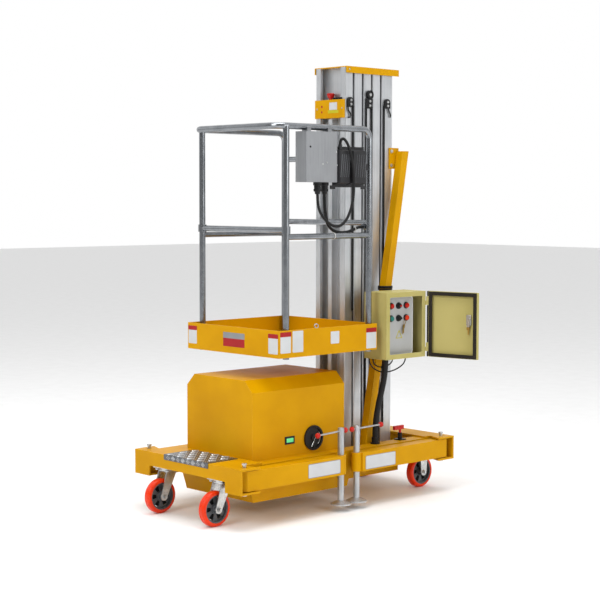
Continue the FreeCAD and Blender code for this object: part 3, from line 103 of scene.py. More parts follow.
def hoop(at, radius, thick, heading=0, steps=24, sides=8):
    # A ring of round wire on edge: u = (radius + thick cos s) cos t, v = (radius + thick cos s) sin t,
    # n = thick sin s, in the plane across the heading.
    t = np.linspace(0, 2 * math.pi, steps, endpoint=False)[:, None]
    s = np.linspace(0, 2 * math.pi, sides, endpoint=False)
    reach, rise = radius + thick * np.cos(s), np.broadcast_to(thick * np.sin(s), (steps, sides))
    flat = np.stack([reach * np.cos(t), reach * np.sin(t), rise], -1)
    row, col = np.arange(steps)[:, None], np.arange(sides)[None]
    here, ahead, nextCol = row * sides, (row + 1) % steps * sides, (col + 1) % sides
    quads = np.stack([here + col, here + nextCol, ahead + nextCol, ahead + col], -1)
    return upright((flat.reshape(-1, 3), quads.reshape(-1, 4)), heading, at)


def upright(part, heading, at=(0, 0, 0)):
    # Stands a flat drawn part up: n faces the heading (degrees from +X), v is up and u runs to its right.
    u, v, n = part[0].T
    h = math.radians(heading)
    points = np.stack([n * math.cos(h) - u * math.sin(h), n * math.sin(h) + u * math.cos(h), v], -1)
    return points + np.array(at, float), part[1]


def moved(part, at):
    # A part set off by at.
    return part[0] + np.array(at, float), part[1]


def roundedOutline(width, height, corner, steps=5):
    # Points of a rounded rectangle: quarter circles round its four inner corners.
    quarter = np.linspace(0, math.pi / 2, steps)
    t = np.concatenate([quarter + k * math.pi / 2 for k in range(4)])
    right = np.repeat([1, -1, -1, 1], steps) * (width / 2 - corner) + corner * np.cos(t)
    up = np.repeat([1, 1, -1, -1], steps) * (height / 2 - corner) + corner * np.sin(t)
    return np.stack([right, up], -1)


def slab(outline, low, high, soft=0.0):
    # A flat shape with a thickness: rings of its outline, drawn in by soft at the top, closed to its middle.
    middle = outline.mean(0)
    reach = np.abs(outline - middle).max()
    rows = [(0, low), (1, low), (1, high - soft), (1 - soft / reach, high), (0, high)]
    rings = [np.column_stack([middle + (outline - middle) * k, np.full(len(outline), n)]) for k, n in rows]
    return np.concatenate(rings), gridQuads(len(rows), len(outline), True)


def frameRing(outline, width, low, high):
    # A flat ring: its outline and the same drawn in by its width, each low and high.
    middle = outline.mean(0)
    inner = middle + (outline - middle) * (1 - width / np.abs(outline - middle).max(0))
    rows = [(outline, low), (outline, high), (inner, high), (inner, low), (outline, low)]
    rings = [np.column_stack([ring, np.full(len(ring), n)]) for ring, n in rows]
    return np.concatenate(rings), gridQuads(len(rows), len(outline), True)


hexShares = {"edge": 0.85, "crown": 0.86, "washer": 1.2, "washerHeight": 0.2, "thread": 0.52}


def bolt(across, height, stub=0.0):
    # A chamfered six-sided turn on a round washer, and its thread's end if it has a stub; drawn head out.
    r = across / math.sqrt(3)
    flatHeight, crown = height * hexShares["edge"], r * hexShares["crown"]
    washer, washerHeight = r * hexShares["washer"], height * hexShares["washerHeight"]
    thread, end = r * hexShares["thread"], height + stub
    parts = [turned([(0, 0), (r, 0), (r, flatHeight), (crown, height), (0, height)], steps=6),
             turned([(0, 0), (washer, 0), (washer, washerHeight), (0, washerHeight)], steps=20)]
    if stub:
        parts.append(turned([(0, 0), (thread, 0), (thread, end), (0, end)], steps=12))
    return join(*parts)


def faceDown(part):
    # A flat drawn part turned over, so that its head points down.
    return part[0] * (1, -1, -1), part[1]


def roundHead(radius, height):
    # A domed screw head with the dimple for its driver: a profile in shares of its radius and height, turned.
    return turned([(0, 0), (radius, 0), (radius * 0.94, height * 0.5), (radius * 0.7, height * 0.9),
                   (radius * 0.35, height), (radius * 0.3, height * 0.6), (0, height * 0.6)], steps=16)


def spread(part, places):
    # Copies of one part at several places.
    points, quads = part
    places = np.array(places, float).reshape(-1, 3)
    start = np.arange(len(places))[:, None, None] * len(points)
    return (points[None] + places[:, None]).reshape(-1, 3), (quads[None] + start).reshape(-1, quads.shape[1])


def join(*parts):
    # Several parts as one, with their quads counted on.
    points, quads, start = [], [], 0
    for p, q in parts:
        points.append(p)
        quads.append(q + start)
        start += len(p)
    return np.concatenate(points), np.concatenate(quads)


def makePiece(name, parts, body, finish, angle=32):
    # Puts points and quads into a mesh, welds its seams and poles, and rides it on its body.
    points, quads = join(*parts) if isinstance(parts, list) else parts
    mesh = bpy.data.meshes.new(name)
    mesh.from_pydata(points.tolist(), [], quads.tolist())
    work = bmesh.new()
    work.from_mesh(mesh)
    bmesh.ops.remove_doubles(work, verts=work.verts, dist=1e-6)
    bmesh.ops.dissolve_degenerate(work, edges=work.edges, dist=1e-7)
    bmesh.ops.recalc_face_normals(work, faces=work.faces)
    work.to_mesh(mesh)
    work.free()
    mesh.shade_smooth()
    mesh.set_sharp_from_angle(angle=math.radians(angle))
    mesh.materials.append(finish)
    piece = bpy.data.objects.new(name, mesh)
    bpy.context.scene.collection.objects.link(piece)
    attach(piece, body)
    return piece


# Finishes

def linear(text, alpha=1.0):
    # An sRGB hex colour as linear numbers.
    rgb = np.array([int(text[k:k + 2], 16) / 255 for k in (1, 3, 5)])
    rgb = np.where(rgb <= 0.04045, rgb / 12.92, ((rgb + 0.055) / 1.055) ** 2.4)
    return (*rgb.tolist(), alpha)


def addNode(tree, kind, inputs=None, stops=(), **settings):
    # Adds a node: a socket among the inputs is linked, anything else is set; stops are a ramp's two ends.
    node = tree.nodes.new(kind)
    for key, value in settings.items():
        setattr(node, key, value)
    for key, value in (inputs or {}).items():
        if isinstance(value, bpy.types.NodeSocket):
            tree.links.new(value, node.inputs[key])
        else:
            node.inputs[key].default_value = value
    for k, (place, colour) in enumerate(stops):
        element = node.color_ramp.elements[k]
        element.position = place
        element.color = linear(colour) if isinstance(colour, str) else (colour, colour, colour, 1)
    return node


def startFinish(name):
    # An empty finish with its shader, and the place on the piece that its patterns read.
    finish = bpy.data.materials.new(name)
    finish.use_nodes = True
    tree = finish.node_tree
    tree.nodes.clear()
    shader = addNode(tree, "ShaderNodeBsdfPrincipled")
    addNode(tree, "ShaderNodeOutputMaterial", {"Surface": shader.outputs["BSDF"]})
    place = addNode(tree, "ShaderNodeTexCoord").outputs["Object"]
    return finish, tree, shader, place


def powderCoat(name, light, dark, rub, roughness=0.36, peel=0.35):
    # Powder coated steel, baked: even colour in patches of 200 mm, soft gloss, orange peel of 5 mm (really
    # 1 to 2 mm, drawn coarser so that it shows), and edges rubbed lighter by handling.
    finish, tree, shader, place = startFinish(name)
    broad = addNode(tree, "ShaderNodeTexNoise", {"Vector": place, "Scale": 5.0, "Detail": 4.0})
    grain = addNode(tree, "ShaderNodeTexNoise", {"Vector": place, "Scale": 1 / 0.005, "Detail": 1.0})
    coat = addNode(tree, "ShaderNodeValToRGB", {"Fac": broad.outputs["Fac"]}, [(0.3, dark), (0.62, light)])
    rounded = addNode(tree, "ShaderNodeBevel", {"Radius": 0.0022}, samples=4)
    flatNormal = addNode(tree, "ShaderNodeNewGeometry").outputs["Normal"]
    turnedAway = addNode(tree, "ShaderNodeVectorMath", {
        0: rounded.outputs["Normal"], 1: flatNormal}, operation="DOT_PRODUCT")
    edge = addNode(tree, "ShaderNodeValToRGB", {"Fac": turnedAway.outputs["Value"]},
                   [(0.84, 0.55), (0.985, 0.0)])
    worn = addNode(tree, "ShaderNodeMix", {
        "Factor": edge.outputs["Color"], "A": coat.outputs["Color"], "B": linear(rub)}, data_type="RGBA")
    rough = addNode(tree, "ShaderNodeMapRange", {
        "Value": broad.outputs["Fac"], "From Min": 0.25, "From Max": 0.7, "To Min": roughness + 0.1,
        "To Max": roughness})
    bump = addNode(tree, "ShaderNodeBump", {
        "Height": grain.outputs["Fac"], "Strength": peel, "Distance": 0.0002})
    shader.inputs["Specular IOR Level"].default_value = 0.08
    tree.links.new(worn.outputs["Result"], shader.inputs["Base Color"])
    tree.links.new(rough.outputs["Result"], shader.inputs["Roughness"])
    tree.links.new(bump.outputs["Normal"], shader.inputs["Normal"])
    return finish


def drawnMetal(name, light, dark, squeeze, roughness=0.34, metallic=0.9, relief=0.2):
    # Anodised extrusion, drawn tube, sheet or ground steel: lines or grains as squeeze sets them, 2 to 30 mm
    # (really under 1 mm, too fine to show), on a satin metal that clouds over in patches of 110 mm.
    finish, tree, shader, place = startFinish(name)
    stretched = addNode(tree, "ShaderNodeMapping", {"Vector": place, "Scale": squeeze})
    lines = addNode(tree, "ShaderNodeTexNoise", {
        "Vector": stretched.outputs["Vector"], "Scale": 1.0, "Detail": 2.0})
    cloud = addNode(tree, "ShaderNodeTexNoise", {"Vector": place, "Scale": 9.0, "Detail": 3.0})
    both = addNode(tree, "ShaderNodeMix", {
        "Factor": 0.45, "A": lines.outputs["Fac"], "B": cloud.outputs["Fac"]})
    metal = addNode(tree, "ShaderNodeValToRGB", {"Fac": both.outputs["Result"]},
                    [(0.34, dark), (0.62, light)])
    rough = addNode(tree, "ShaderNodeMapRange", {
        "Value": both.outputs["Result"], "From Min": 0.3, "From Max": 0.7, "To Min": roughness + 0.12,
        "To Max": roughness})
    bump = addNode(tree, "ShaderNodeBump", {
        "Height": lines.outputs["Fac"], "Strength": relief, "Distance": 0.0001})
    tree.links.new(metal.outputs["Color"], shader.inputs["Base Color"])
    tree.links.new(rough.outputs["Result"], shader.inputs["Roughness"])
    tree.links.new(bump.outputs["Normal"], shader.inputs["Normal"])
    shader.inputs["Metallic"].default_value = metallic
    return finish


def zincCoat(name, light, dark, grain=0.012, roughness=0.3):
    # Zinc plate or rolled aluminium: crystals of 6 to 15 mm (really 1 to 5 mm, drawn coarser so that they
    # show) that differ a little in grey and in gloss.
    finish, tree, shader, place = startFinish(name)
    crystals = addNode(tree, "ShaderNodeTexVoronoi", {"Vector": place, "Scale": 1 / grain})
    cloud = addNode(tree, "ShaderNodeTexNoise", {"Vector": place, "Scale": 18.0, "Detail": 3.0})
    both = addNode(tree, "ShaderNodeMix", {
        "Factor": 0.65, "A": crystals.outputs["Color"], "B": cloud.outputs["Color"]}, data_type="RGBA")
    metal = addNode(tree, "ShaderNodeValToRGB", {"Fac": both.outputs["Result"]},
                    [(0.25, dark), (0.7, light)])
    rough = addNode(tree, "ShaderNodeMapRange", {
        "Value": cloud.outputs["Fac"], "From Min": 0.3, "From Max": 0.7, "To Min": roughness + 0.12,
        "To Max": roughness})
    bump = addNode(tree, "ShaderNodeBump", {
        "Height": cloud.outputs["Fac"], "Strength": 0.1, "Distance": 0.0004})
    tree.links.new(metal.outputs["Color"], shader.inputs["Base Color"])
    tree.links.new(rough.outputs["Result"], shader.inputs["Roughness"])
    tree.links.new(bump.outputs["Normal"], shader.inputs["Normal"])
    shader.inputs["Metallic"].default_value = 0.92
    return finish


def moulded(name, light, dark, roughness=0.45, grain=0.004, strength=0.25, specular=0.3):
    # Moulded plastic, rubber or printed vinyl: a spark-eroded grain, drawn at about 4 mm so that it shows.
    finish, tree, shader, place = startFinish(name)
    noise = addNode(tree, "ShaderNodeTexNoise", {"Vector": place, "Scale": 1 / grain, "Detail": 2.0})
    cloud = addNode(tree, "ShaderNodeTexNoise", {"Vector": place, "Scale": 9.0, "Detail": 2.0})
    colour = addNode(tree, "ShaderNodeValToRGB", {"Fac": cloud.outputs["Fac"]}, [(0.3, dark), (0.7, light)])
    rough = addNode(tree, "ShaderNodeMapRange", {
        "Value": noise.outputs["Fac"], "From Min": 0.3, "From Max": 0.7, "To Min": roughness + 0.08,
        "To Max": roughness})
    bump = addNode(tree, "ShaderNodeBump", {
        "Height": noise.outputs["Fac"], "Strength": strength, "Distance": 0.0002})
    shader.inputs["Specular IOR Level"].default_value = specular
    tree.links.new(colour.outputs["Color"], shader.inputs["Base Color"])
    tree.links.new(rough.outputs["Result"], shader.inputs["Roughness"])
    tree.links.new(bump.outputs["Normal"], shader.inputs["Normal"])
    return finish


yellowCoat = powderCoat("yellow_powder_coat", "#D29A00", "#C68E00", "#E8BA40")
oliveCoat = powderCoat("olive_textured_coat", "#BDB271", "#B0A564", "#CFC890", 0.5, 0.6)
panelCoat = powderCoat("light_grey_panel_coat", "#B9BABA", "#ADAEAE", "#D6D6D6", 0.42, 0.2)
greyBox = drawnMetal("brushed_sheet_box", "#A6A8AB", "#999B9E", (1 / 0.003, 1 / 0.003, 6), 0.36)
anodised = drawnMetal("anodised_mast_extrusion", "#DADCDE", "#BDC0C3", (1 / 0.002, 1 / 0.002, 1.2))
galvanised = drawnMetal("galvanised_tube", "#96999D", "#7E8286", (30, 30, 30), 0.16, 0.95, 0.08)
treadMetal = zincCoat("rolled_aluminium_tread", "#7C7E80", "#585A5D", 0.006, 0.3)
barMetal = drawnMetal("worn_bright_tread_bars", "#C6C8CA", "#A6A8AB", (200, 200, 200), 0.3)
zincPlate = zincCoat("zinc_plated_steel", "#D6D7D5", "#A6A8AA", 0.015, 0.24)
groundSteel = drawnMetal("ground_jack_steel", "#C6C8CA", "#A0A3A6", (300, 300, 8), 0.38, 0.8)
polyurethane = moulded("red_orange_polyurethane", "#EE3A06", "#D92F04", 0.26, 0.01, 0.1)
hubBlack = moulded("dark_grey_nylon_core", "#606265", "#4A4C4F", 0.3)
# Near black, far darker than the core's own nylon: painted shade for the pockets between the core's spokes
paintedShadeWeb = moulded("near_black_web_painted_shade", "#0E0E0F", "#090909", 0.6, specular=0.1)
blackMoulding = moulded("black_abs_moulding", "#19191B", "#101011", 0.4)
charcoalCase = moulded("charcoal_abs_case", "#323234", "#262628", 0.36)
cableJacket = moulded("black_rubber_jacket", "#141415", "#0C0C0D", 0.5)
gasketRubber = moulded("black_gasket_foam", "#2B2620", "#1F1B16", 0.75, 0.003, 0.4)
redMoulding = moulded("glossy_red_moulding", "#C81E16", "#B2170F", 0.24, 0.01, 0.05)
tealMoulding = moulded("glossy_teal_moulding", "#2F7F78", "#27706A", 0.28, 0.01, 0.05)
orangeMoulding = moulded("glossy_orange_moulding", "#D8391A", "#C83014", 0.28, 0.01, 0.05)
whiteNylon = moulded("white_nylon", "#E4E4E0", "#D6D6D2", 0.4, 0.01, 0.1)
brassKey = drawnMetal("brass_key_blank", "#C2A25A", "#9A7C3A", (200, 200, 60), 0.28, 0.95)
gaugeGreen = moulded("green_gauge_window", "#7CF5AC", "#5EEB92", 0.2, 0.01, 0.02)
vinylGrey = moulded("grey_white_vinyl", "#CDCFD1", "#C2C4C6", 0.36, 0.02, 0.05)
vinylRed = moulded("red_vinyl", "#A8141A", "#980F15", 0.34, 0.02, 0.05)
vinylGreen = moulded("yellow_green_vinyl", "#C2B81C", "#B5AC16", 0.36, 0.02, 0.05)
vinylEdge = moulded("mid_grey_vinyl", "#8E9092", "#828486", 0.4, 0.02, 0.05)

slotFinish = {
    "yellow_coat": yellowCoat, "olive_coat": oliveCoat, "grey_coat": greyBox, "panel_white": panelCoat,
    "anodised": anodised, "tread_aluminium": treadMetal, "galvanised": galvanised, "zinc_plate": zincPlate,
    "polyurethane": polyurethane, "hub_black": hubBlack, "black_moulding": blackMoulding,
    "red_knob": redMoulding,
}
ownFinish = {f"jack_post_{end}_{side}": groundSteel for end in ("front", "rear") for side in ("near", "far")}
ownFinish["charger_case"] = charcoalCase
for entry in frame["record"]["subparts"]:
    mesh = frame["nodes"][entry["node"]].data
    mesh.materials.clear()
    mesh.materials.append(ownFinish.get(entry["node"], slotFinish[entry["material_slot"]]))
print("finishes set")


# Camera, floor and light

view = {"place": (4.89165, -4.56702, 1.37591), "turn": 46.93, "down": 3.94, "roll": -0.09, "lens": 88.26,
        "sensor": 36}
camera = bpy.data.objects.new("camera", bpy.data.cameras.new("camera"))
bpy.context.scene.collection.objects.link(camera)
turn, down = math.radians(view["turn"]), math.radians(view["down"])
ahead = Vector((-math.sin(turn) * math.cos(down), math.cos(turn) * math.cos(down), -math.sin(down)))
camera.location = view["place"]
camera.rotation_mode = "QUATERNION"
camera.rotation_quaternion = Quaternion(ahead, math.radians(view["roll"])) @ ahead.to_track_quat("-Z", "Y")
camera.data.lens = view["lens"]
camera.data.sensor_width = view["sensor"]
bpy.context.scene.camera = camera

reach = 30.0  # metres of floor each way
floorMesh = bpy.data.meshes.new("studio_floor")
corners = [(-reach, -reach, 0), (reach, -reach, 0), (reach, reach, 0), (-reach, reach, 0)]
floorMesh.from_pydata(corners, [], [(0, 1, 2, 3)])
floor = bpy.data.objects.new("studio_floor", floorMesh)
bpy.context.scene.collection.objects.link(floor)
floorMesh.materials.append(moulded("pale_floor_paint", "#FBFBFB", "#F7F7F7", 0.7, 0.02, 0.05))

lights = [
    # name, place, aim, size, watts
    ("key", (1.2, -5.5, 4.2), (0, 0, 0.9), 2.6, 165),
    ("fill", (5.5, 0.5, 2.6), (0, 0, 0.8), 3.0, 80),
    ("top", (0.5, -0.6, 5.5), (0, -0.1, 0.5), 3.0, 125),
    ("left", (-4.5, -2.5, 2.8), (0, 0, 0.9), 2.4, 12),
]
for name, at, aim, size, watts in lights:
    lamp = bpy.data.lights.new(name, "AREA")
    lamp.energy = watts
    lamp.size = size
    thing = bpy.data.objects.new(name, lamp)
    bpy.context.scene.collection.objects.link(thing)
    thing.location = at
    thing.rotation_mode = "QUATERNION"
    thing.rotation_quaternion = (Vector(aim) - Vector(at)).to_track_quat("-Z", "Y")

# A white backdrop ahead of the camera and to its left, and a dim room behind it that the metal reflects
room = {"bright": (-0.47, 0.92, 0.6), "dimFrom": -0.8, "whiteFrom": 0.8, "dim": 0.12, "white": 1.0}
world = bpy.data.worlds.new("studio")
world.use_nodes = True
sky = world.node_tree
toward = addNode(sky, "ShaderNodeTexCoord").outputs["Generated"]
facing = addNode(sky, "ShaderNodeVectorMath", {0: toward, 1: room["bright"]}, operation="DOT_PRODUCT")
shade = addNode(sky, "ShaderNodeMapRange", {
    "Value": facing.outputs["Value"], "From Min": room["dimFrom"], "From Max": room["whiteFrom"],
    "To Min": room["dim"], "To Max": room["white"]})
sky.links.new(shade.outputs["Result"], sky.nodes["Background"].inputs["Color"])
bpy.context.scene.world = world
bpy.context.scene.view_settings.view_transform = "Standard"
print("camera, floor and lights set")


# Cables

def cable(name, route, diameter, body, replaced):
    # A smooth NURBS line of order 3 led by a route in millimetres, with a round bevel.
    curve = bpy.data.curves.new(name, "CURVE")
    curve.dimensions = "3D"
    spline = curve.splines.new("NURBS")
    spline.points.add(len(route) - 1)
    points = np.column_stack([np.array(route, float) / 1000, np.ones(len(route))])
    spline.points.foreach_set("co", points.ravel())
    spline.order_u = 3
    spline.use_endpoint_u = True
    spline.resolution_u = 12
    curve.bevel_depth = diameter / 2
    curve.bevel_resolution = 4
    curve.use_fill_caps = True
    curve.materials.append(cableJacket)
    piece = bpy.data.objects.new(name, curve)
    bpy.context.scene.collection.objects.link(piece)
    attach(piece, body)
    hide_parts(replaced)


cable("loop_cable_jacket", [
    (285, -159, 1407), (285, -159, 1362), (290, -147, 1312), (300, -108, 1269), (309, -60, 1250),
    (318, -20, 1274), (327, 4, 1325), (334, 14, 1385), (337, 13, 1445), (338, 8, 1498), (337, 0, 1548),
    (334, -10, 1588), (327, -20, 1620), (315, -31, 1640), (302, -38, 1630), (302, -38, 1612),
], 0.0125, "platform", "loop_cable")
cable("feed_cable_jacket", [
    (270, -102, 1407), (270, -102, 1362), (267, -94, 1312), (261, -76, 1264), (256, -35, 1234),
    (254, 20, 1225), (255, 74, 1231), (256, 118, 1250), (256, 148, 1250),
], 0.014, "platform", "feed_cable")
cable("conduit_jacket", [
    (262, 297, 648), (262, 297, 604), (259, 290, 547), (254, 278, 489), (248, 266, 431),
    (242, 259, 375), (238, 257, 322), (238, 257, 284),
], 0.028, "chassis", "mast_conduit")
cable("cabinet_wire_1", [
    (215, 240, 648), (215, 240, 626), (221, 262, 598), (232, 300, 580), (246, 345, 580), (262, 388, 596),
    (280, 412, 624), (280, 412, 648),
], 0.006, "chassis", "cabinet_loop_1")
cable("cabinet_wire_2", [
    (232, 246, 648), (232, 246, 630), (235, 266, 611), (240, 298, 603), (246, 330, 609), (256, 352, 628),
    (256, 352, 648),
], 0.006, "chassis", "cabinet_loop_2")
print("cables laid")


# Tread: groups of slanted raised bars on the step and its front edge, each mirrored from its neighbours.
# A bar is an ellipse drawn in as it rises, from its foot in the sheet to its crown, and turned by 45 degrees.

tread = {"pitch": 0.034, "columns": 8, "rows": 5, "bars": 3, "gap": 0.0088, "length": 0.034, "width": 0.0056,
         "height": 0.0022, "first": -0.650, "top": 0.265, "lip": -0.665, "lipMiddle": 0.2525,
         "lipShare": (0.8, 0.62, 1), "drawnIn": (1, 1, 0.84, 0.45, 0), "rise": (-0.2, 0, 0.6, 0.95, 1),
         "sides": 8}
t = np.linspace(0, 2 * math.pi, tread["sides"], endpoint=False)
drawnIn = np.array(tread["drawnIn"])[:, None]
level = np.array(tread["rise"])[:, None] * tread["height"]
u = drawnIn * tread["length"] / 2 * np.cos(t)
v = drawnIn * tread["width"] / 2 * np.sin(t)
slant = math.sqrt(0.5)
bar = np.stack([(u - v) * slant, (u + v) * slant, np.broadcast_to(level, u.shape)], -1)
steps = (np.arange(tread["bars"]) - (tread["bars"] - 1) / 2) * tread["gap"] * slant
group = spread((bar.reshape(-1, 3), gridQuads(len(level), tread["sides"], True)), [(-k, k, 0) for k in steps])
mirrored = group[0] * (-1, 1, 1), group[1]
columns = (np.arange(tread["columns"]) - (tread["columns"] - 1) / 2) * tread["pitch"]
rows = tread["first"] + np.arange(tread["rows"]) * tread["pitch"]
patches = []
for odd, shape in enumerate((group, mirrored)):
    cells = [(x, y, tread["top"]) for j, y in enumerate(rows) for k, x in enumerate(columns)
             if (j + k) % 2 == odd]
    patches.append(spread(shape, cells))
for odd, shape in enumerate((group, mirrored)):
    small = shape[0] * tread["lipShare"], shape[1]
    row = spread(small, [(x, 0, 0) for x in columns[odd::2]])
    patches.append(upright(row, -90, (0, tread["lip"], tread["lipMiddle"])))
makePiece("tread_bars", patches, "chassis", barMetal)
print("tread laid")


# Casters: plate nuts, king nuts, axle nuts and the webs that close the cores between their spokes, coloured
# near black as painted shade in the core's pockets

caster = {"x": 0.186, "y": 0.615, "axle": 0.076, "trail": 0.044, "leg": 0.031, "plateLow": 0.1903,
          "kingLow": 0.181, "nutX": 0.038, "nutY": 0.030, "hub": 0.014, "web": 0.047, "webHalf": 0.004}
# Each nut's width across its flats, its height and the stub of its thread
casterNut = {"plate": (0.012, 0.006), "axle": (0.016, 0.006, 0.003), "king": (0.022, 0.010)}
hubEdge, webEdge, webHalf = caster["hub"], caster["web"], caster["webHalf"]
webSection = [(hubEdge, -webHalf), (webEdge, -webHalf / 2), (webEdge, webHalf / 2), (hubEdge, webHalf),
              (hubEdge, -webHalf)]
for side, sign in (("near", 1), ("far", -1)):
    x = sign * caster["x"]
    spots = [(x + a * caster["nutX"], y + b * caster["nutY"], caster["plateLow"])
             for y in (-caster["y"], caster["y"]) for a in (-1, 1) for b in (-1, 1)]
    plateNuts = spread(faceDown(bolt(*casterNut["plate"])), spots)
    makePiece(f"caster_nuts_{side}", plateNuts, "chassis", zincPlate)
    for place, y, body in (("front", -caster["y"] - caster["trail"], f"swivel_{side}"),
                           ("rear", caster["y"], "chassis")):
        axleNuts = [upright(bolt(*casterNut["axle"]), heading, (x + out * caster["leg"], y, caster["axle"]))
                    for heading, out in ((0, 1), (180, -1))]
        makePiece(f"axle_nuts_{place}_{side}", axleNuts, body, zincPlate)
        # The web closes the core's pockets; its near black colour is painted shade, standing in for the shade
        # inside them
        web = turned(webSection, (x, y, caster["axle"]), "x", 40)
        makePiece(f"core_web_{place}_{side}", web, f"wheel_{place}_{side}", paintedShadeWeb)
    kingNut = moved(faceDown(bolt(*casterNut["king"])), (x, -caster["y"], caster["kingLow"]))
    makePiece(f"king_nut_{side}", kingNut, f"swivel_{side}", zincPlate)
print("casters fitted")


# Mast side: cable clamps, guide pulley and the taut cables that they hold

mastSide = {"face": 0.097, "strand": 0.1017, "cable": 0.0042, "tail": 0.0034}
clamp = {"width": 0.036, "height": 0.045, "thick": 0.011, "soft": 0.0015, "bolt": (0.009, 0.005),
         "boltRise": (-0.010, 0.008)}
radius = clamp["width"] / 2
t = np.linspace(0, math.pi, 12)
arch = np.stack([radius * np.cos(t), clamp["height"] / 2 - radius + radius * np.sin(t)], -1)
arch = np.concatenate([arch, [[-radius, -clamp["height"] / 2], [radius, -clamp["height"] / 2]]])
runs = [
    # name, body, clamp's place (y, z), cable's y, its top and foot, the loose tail's points (y, z)
    ("front", "platform", (0.222, 1.8175), 0.2425, (1.80, 0.86),
     [(0.208, 1.797), (0.210, 1.780), (0.221, 1.768), (0.227, 1.757), (0.222, 1.749), (0.212, 1.747)]),
    ("rear", "chassis", (0.466, 1.8195), 0.4475, (1.81, 0.30),
     [(0.476, 1.799), (0.479, 1.786), (0.486, 1.776), (0.490, 1.766), (0.488, 1.757)]),
]
for name, body, (y, z), cableY, ends, tail in runs:
    shoe = upright(slab(arch, 0, clamp["thick"], clamp["soft"]), 0, (mastSide["face"], y, z))
    line = pipe([(mastSide["strand"], cableY, k) for k in np.linspace(*ends, 9)], mastSide["cable"])
    hook = pipe([(mastSide["strand"] + 0.001, a, b) for a, b in tail], mastSide["tail"])
    makePiece(f"clamp_{name}", [shoe, line, hook], body, cableJacket)
    bolts = [upright(bolt(*clamp["bolt"]), 0, (mastSide["face"] + clamp["thick"], y, z + rise))
             for rise in clamp["boltRise"]]
    makePiece(f"clamp_bolts_{name}", bolts, body, zincPlate)

pulley = {"y": 0.349, "z": 1.856, "rim": 0.020, "groove": 0.0175, "thick": 0.013, "boss": 0.014,
          "dish": 0.0125, "dishFloor": 0.011, "hub": (0.011, 0.004), "legs": (0.3285, 0.3645),
          "top": 1.838, "foot": 0.32}
bracket = {"width": 0.034, "height": 0.046, "corner": 0.003, "thick": 0.010, "soft": 0.001, "y": 0.346,
           "z": 1.8155, "boltY": 0.347, "boltZ": (1.826, 1.806)}
rim, groove, thick, dishFloor = pulley["rim"], pulley["groove"], pulley["thick"], pulley["dishFloor"]
discSection = [(0, 0), (rim, 0), (rim, 0.0025), (groove, 0.0045), (groove, 0.0085), (rim, 0.0105),
               (rim, thick), (pulley["boss"], thick), (pulley["dish"], dishFloor), (0, dishFloor)]
disc = turned(discSection, (mastSide["face"], pulley["y"], pulley["z"]), "x", 40)
plate = roundedOutline(bracket["width"], bracket["height"], bracket["corner"])
plate = slab(plate, 0, bracket["thick"], bracket["soft"])
plate = upright(plate, 0, (mastSide["face"], bracket["y"], bracket["z"]))
drop = np.linspace(pulley["top"], pulley["foot"], 9)
legs = [pipe([(mastSide["strand"], y, z) for z in drop], mastSide["cable"]) for y in pulley["legs"]]
makePiece("pulley_bracket", [disc, plate, *legs], "section_3", cableJacket)
hub = upright(bolt(*pulley["hub"]), 0, (mastSide["face"] + dishFloor, pulley["y"], pulley["z"]))
screws = [upright(bolt(*clamp["bolt"]), 0, (mastSide["face"] + bracket["thick"], bracket["boltY"], z))
          for z in bracket["boltZ"]]
makePiece("pulley_bolts", [hub, *screws], "section_3", zincPlate)
print("mast cables set")


# Stop box: blank plates, screws, mushroom button and small plugs

stopBox = {"face": 0.188, "screws": (-0.080, 0.084), "screwZ": 1.789, "screw": (0.004, 0.002),
           "cardCorner": 0.002, "cardThick": 0.0004, "plugs": (0.018, 0.034, 0.050, 0.066),
           "plugWidth": 0.010, "plugY": (0.192, 0.206), "plugZ": (1.829, 1.840), "plugBevel": 0.0015}
cards = [
    # finish, width, height, x, z
    (vinylGrey, 0.050, 0.034, 0.026, 1.8005), (vinylGreen, 0.070, 0.015, 0.026, 1.7755),
    (vinylRed, 0.010, 0.010, -0.049, 1.800), (vinylRed, 0.009, 0.009, -0.049, 1.775),
]
for number, (vinyl, width, height, x, z) in enumerate(cards, start=1):
    card = slab(roundedOutline(width, height, stopBox["cardCorner"]), 0, stopBox["cardThick"])
    makePiece(f"stop_card_{number}", upright(card, -90, (x, stopBox["face"], z)), "platform", vinyl)
screws = [upright(roundHead(*stopBox["screw"]), -90, (x, stopBox["face"], stopBox["screwZ"]))
          for x in stopBox["screws"]]
makePiece("stop_screws", screws, "platform", zincPlate)
mushroom = {"at": (-0.008, 0.206, 1.830), "stem": 0.009, "foot": 0.013, "rim": 0.0185, "height": 0.031}
stem, rim, height = mushroom["stem"], mushroom["rim"], mushroom["height"]
headSection = [(0, 0), (stem, 0), (stem, 0.008), (mushroom["foot"], 0.009), (rim, height - 0.007),
               (rim, height - 0.003), (rim - 0.004, height), (0, height + 0.001)]
head = turned(headSection, mushroom["at"], steps=40)
button = makePiece("stop_mushroom", head, "platform", redMoulding, 50)
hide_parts("stop_button")
(plugFront, plugBack), (plugLow, plugHigh) = stopBox["plugY"], stopBox["plugZ"]
plugWidth, plugBevel = stopBox["plugWidth"], stopBox["plugBevel"]
plugs = [block((x, plugFront, plugLow), (x + plugWidth, plugBack, plugHigh), plugBevel)
         for x in stopBox["plugs"]]
makePiece("stop_plugs", plugs, "platform", blackMoulding)
mastCap = {"side": 0.106, "y": 0.214, "z": 1.966, "screw": (0.005, 0.003)}
capScrews = [upright(roundHead(*mastCap["screw"]), heading, (x, mastCap["y"], mastCap["z"]))
             for heading, x in ((0, mastCap["side"]), (180, -mastCap["side"]))]
makePiece("cap_screws", capScrews, "platform", zincPlate)
print("stop box dressed")


# Platform: blank plates and headers on the toe boards, and the eye bolt

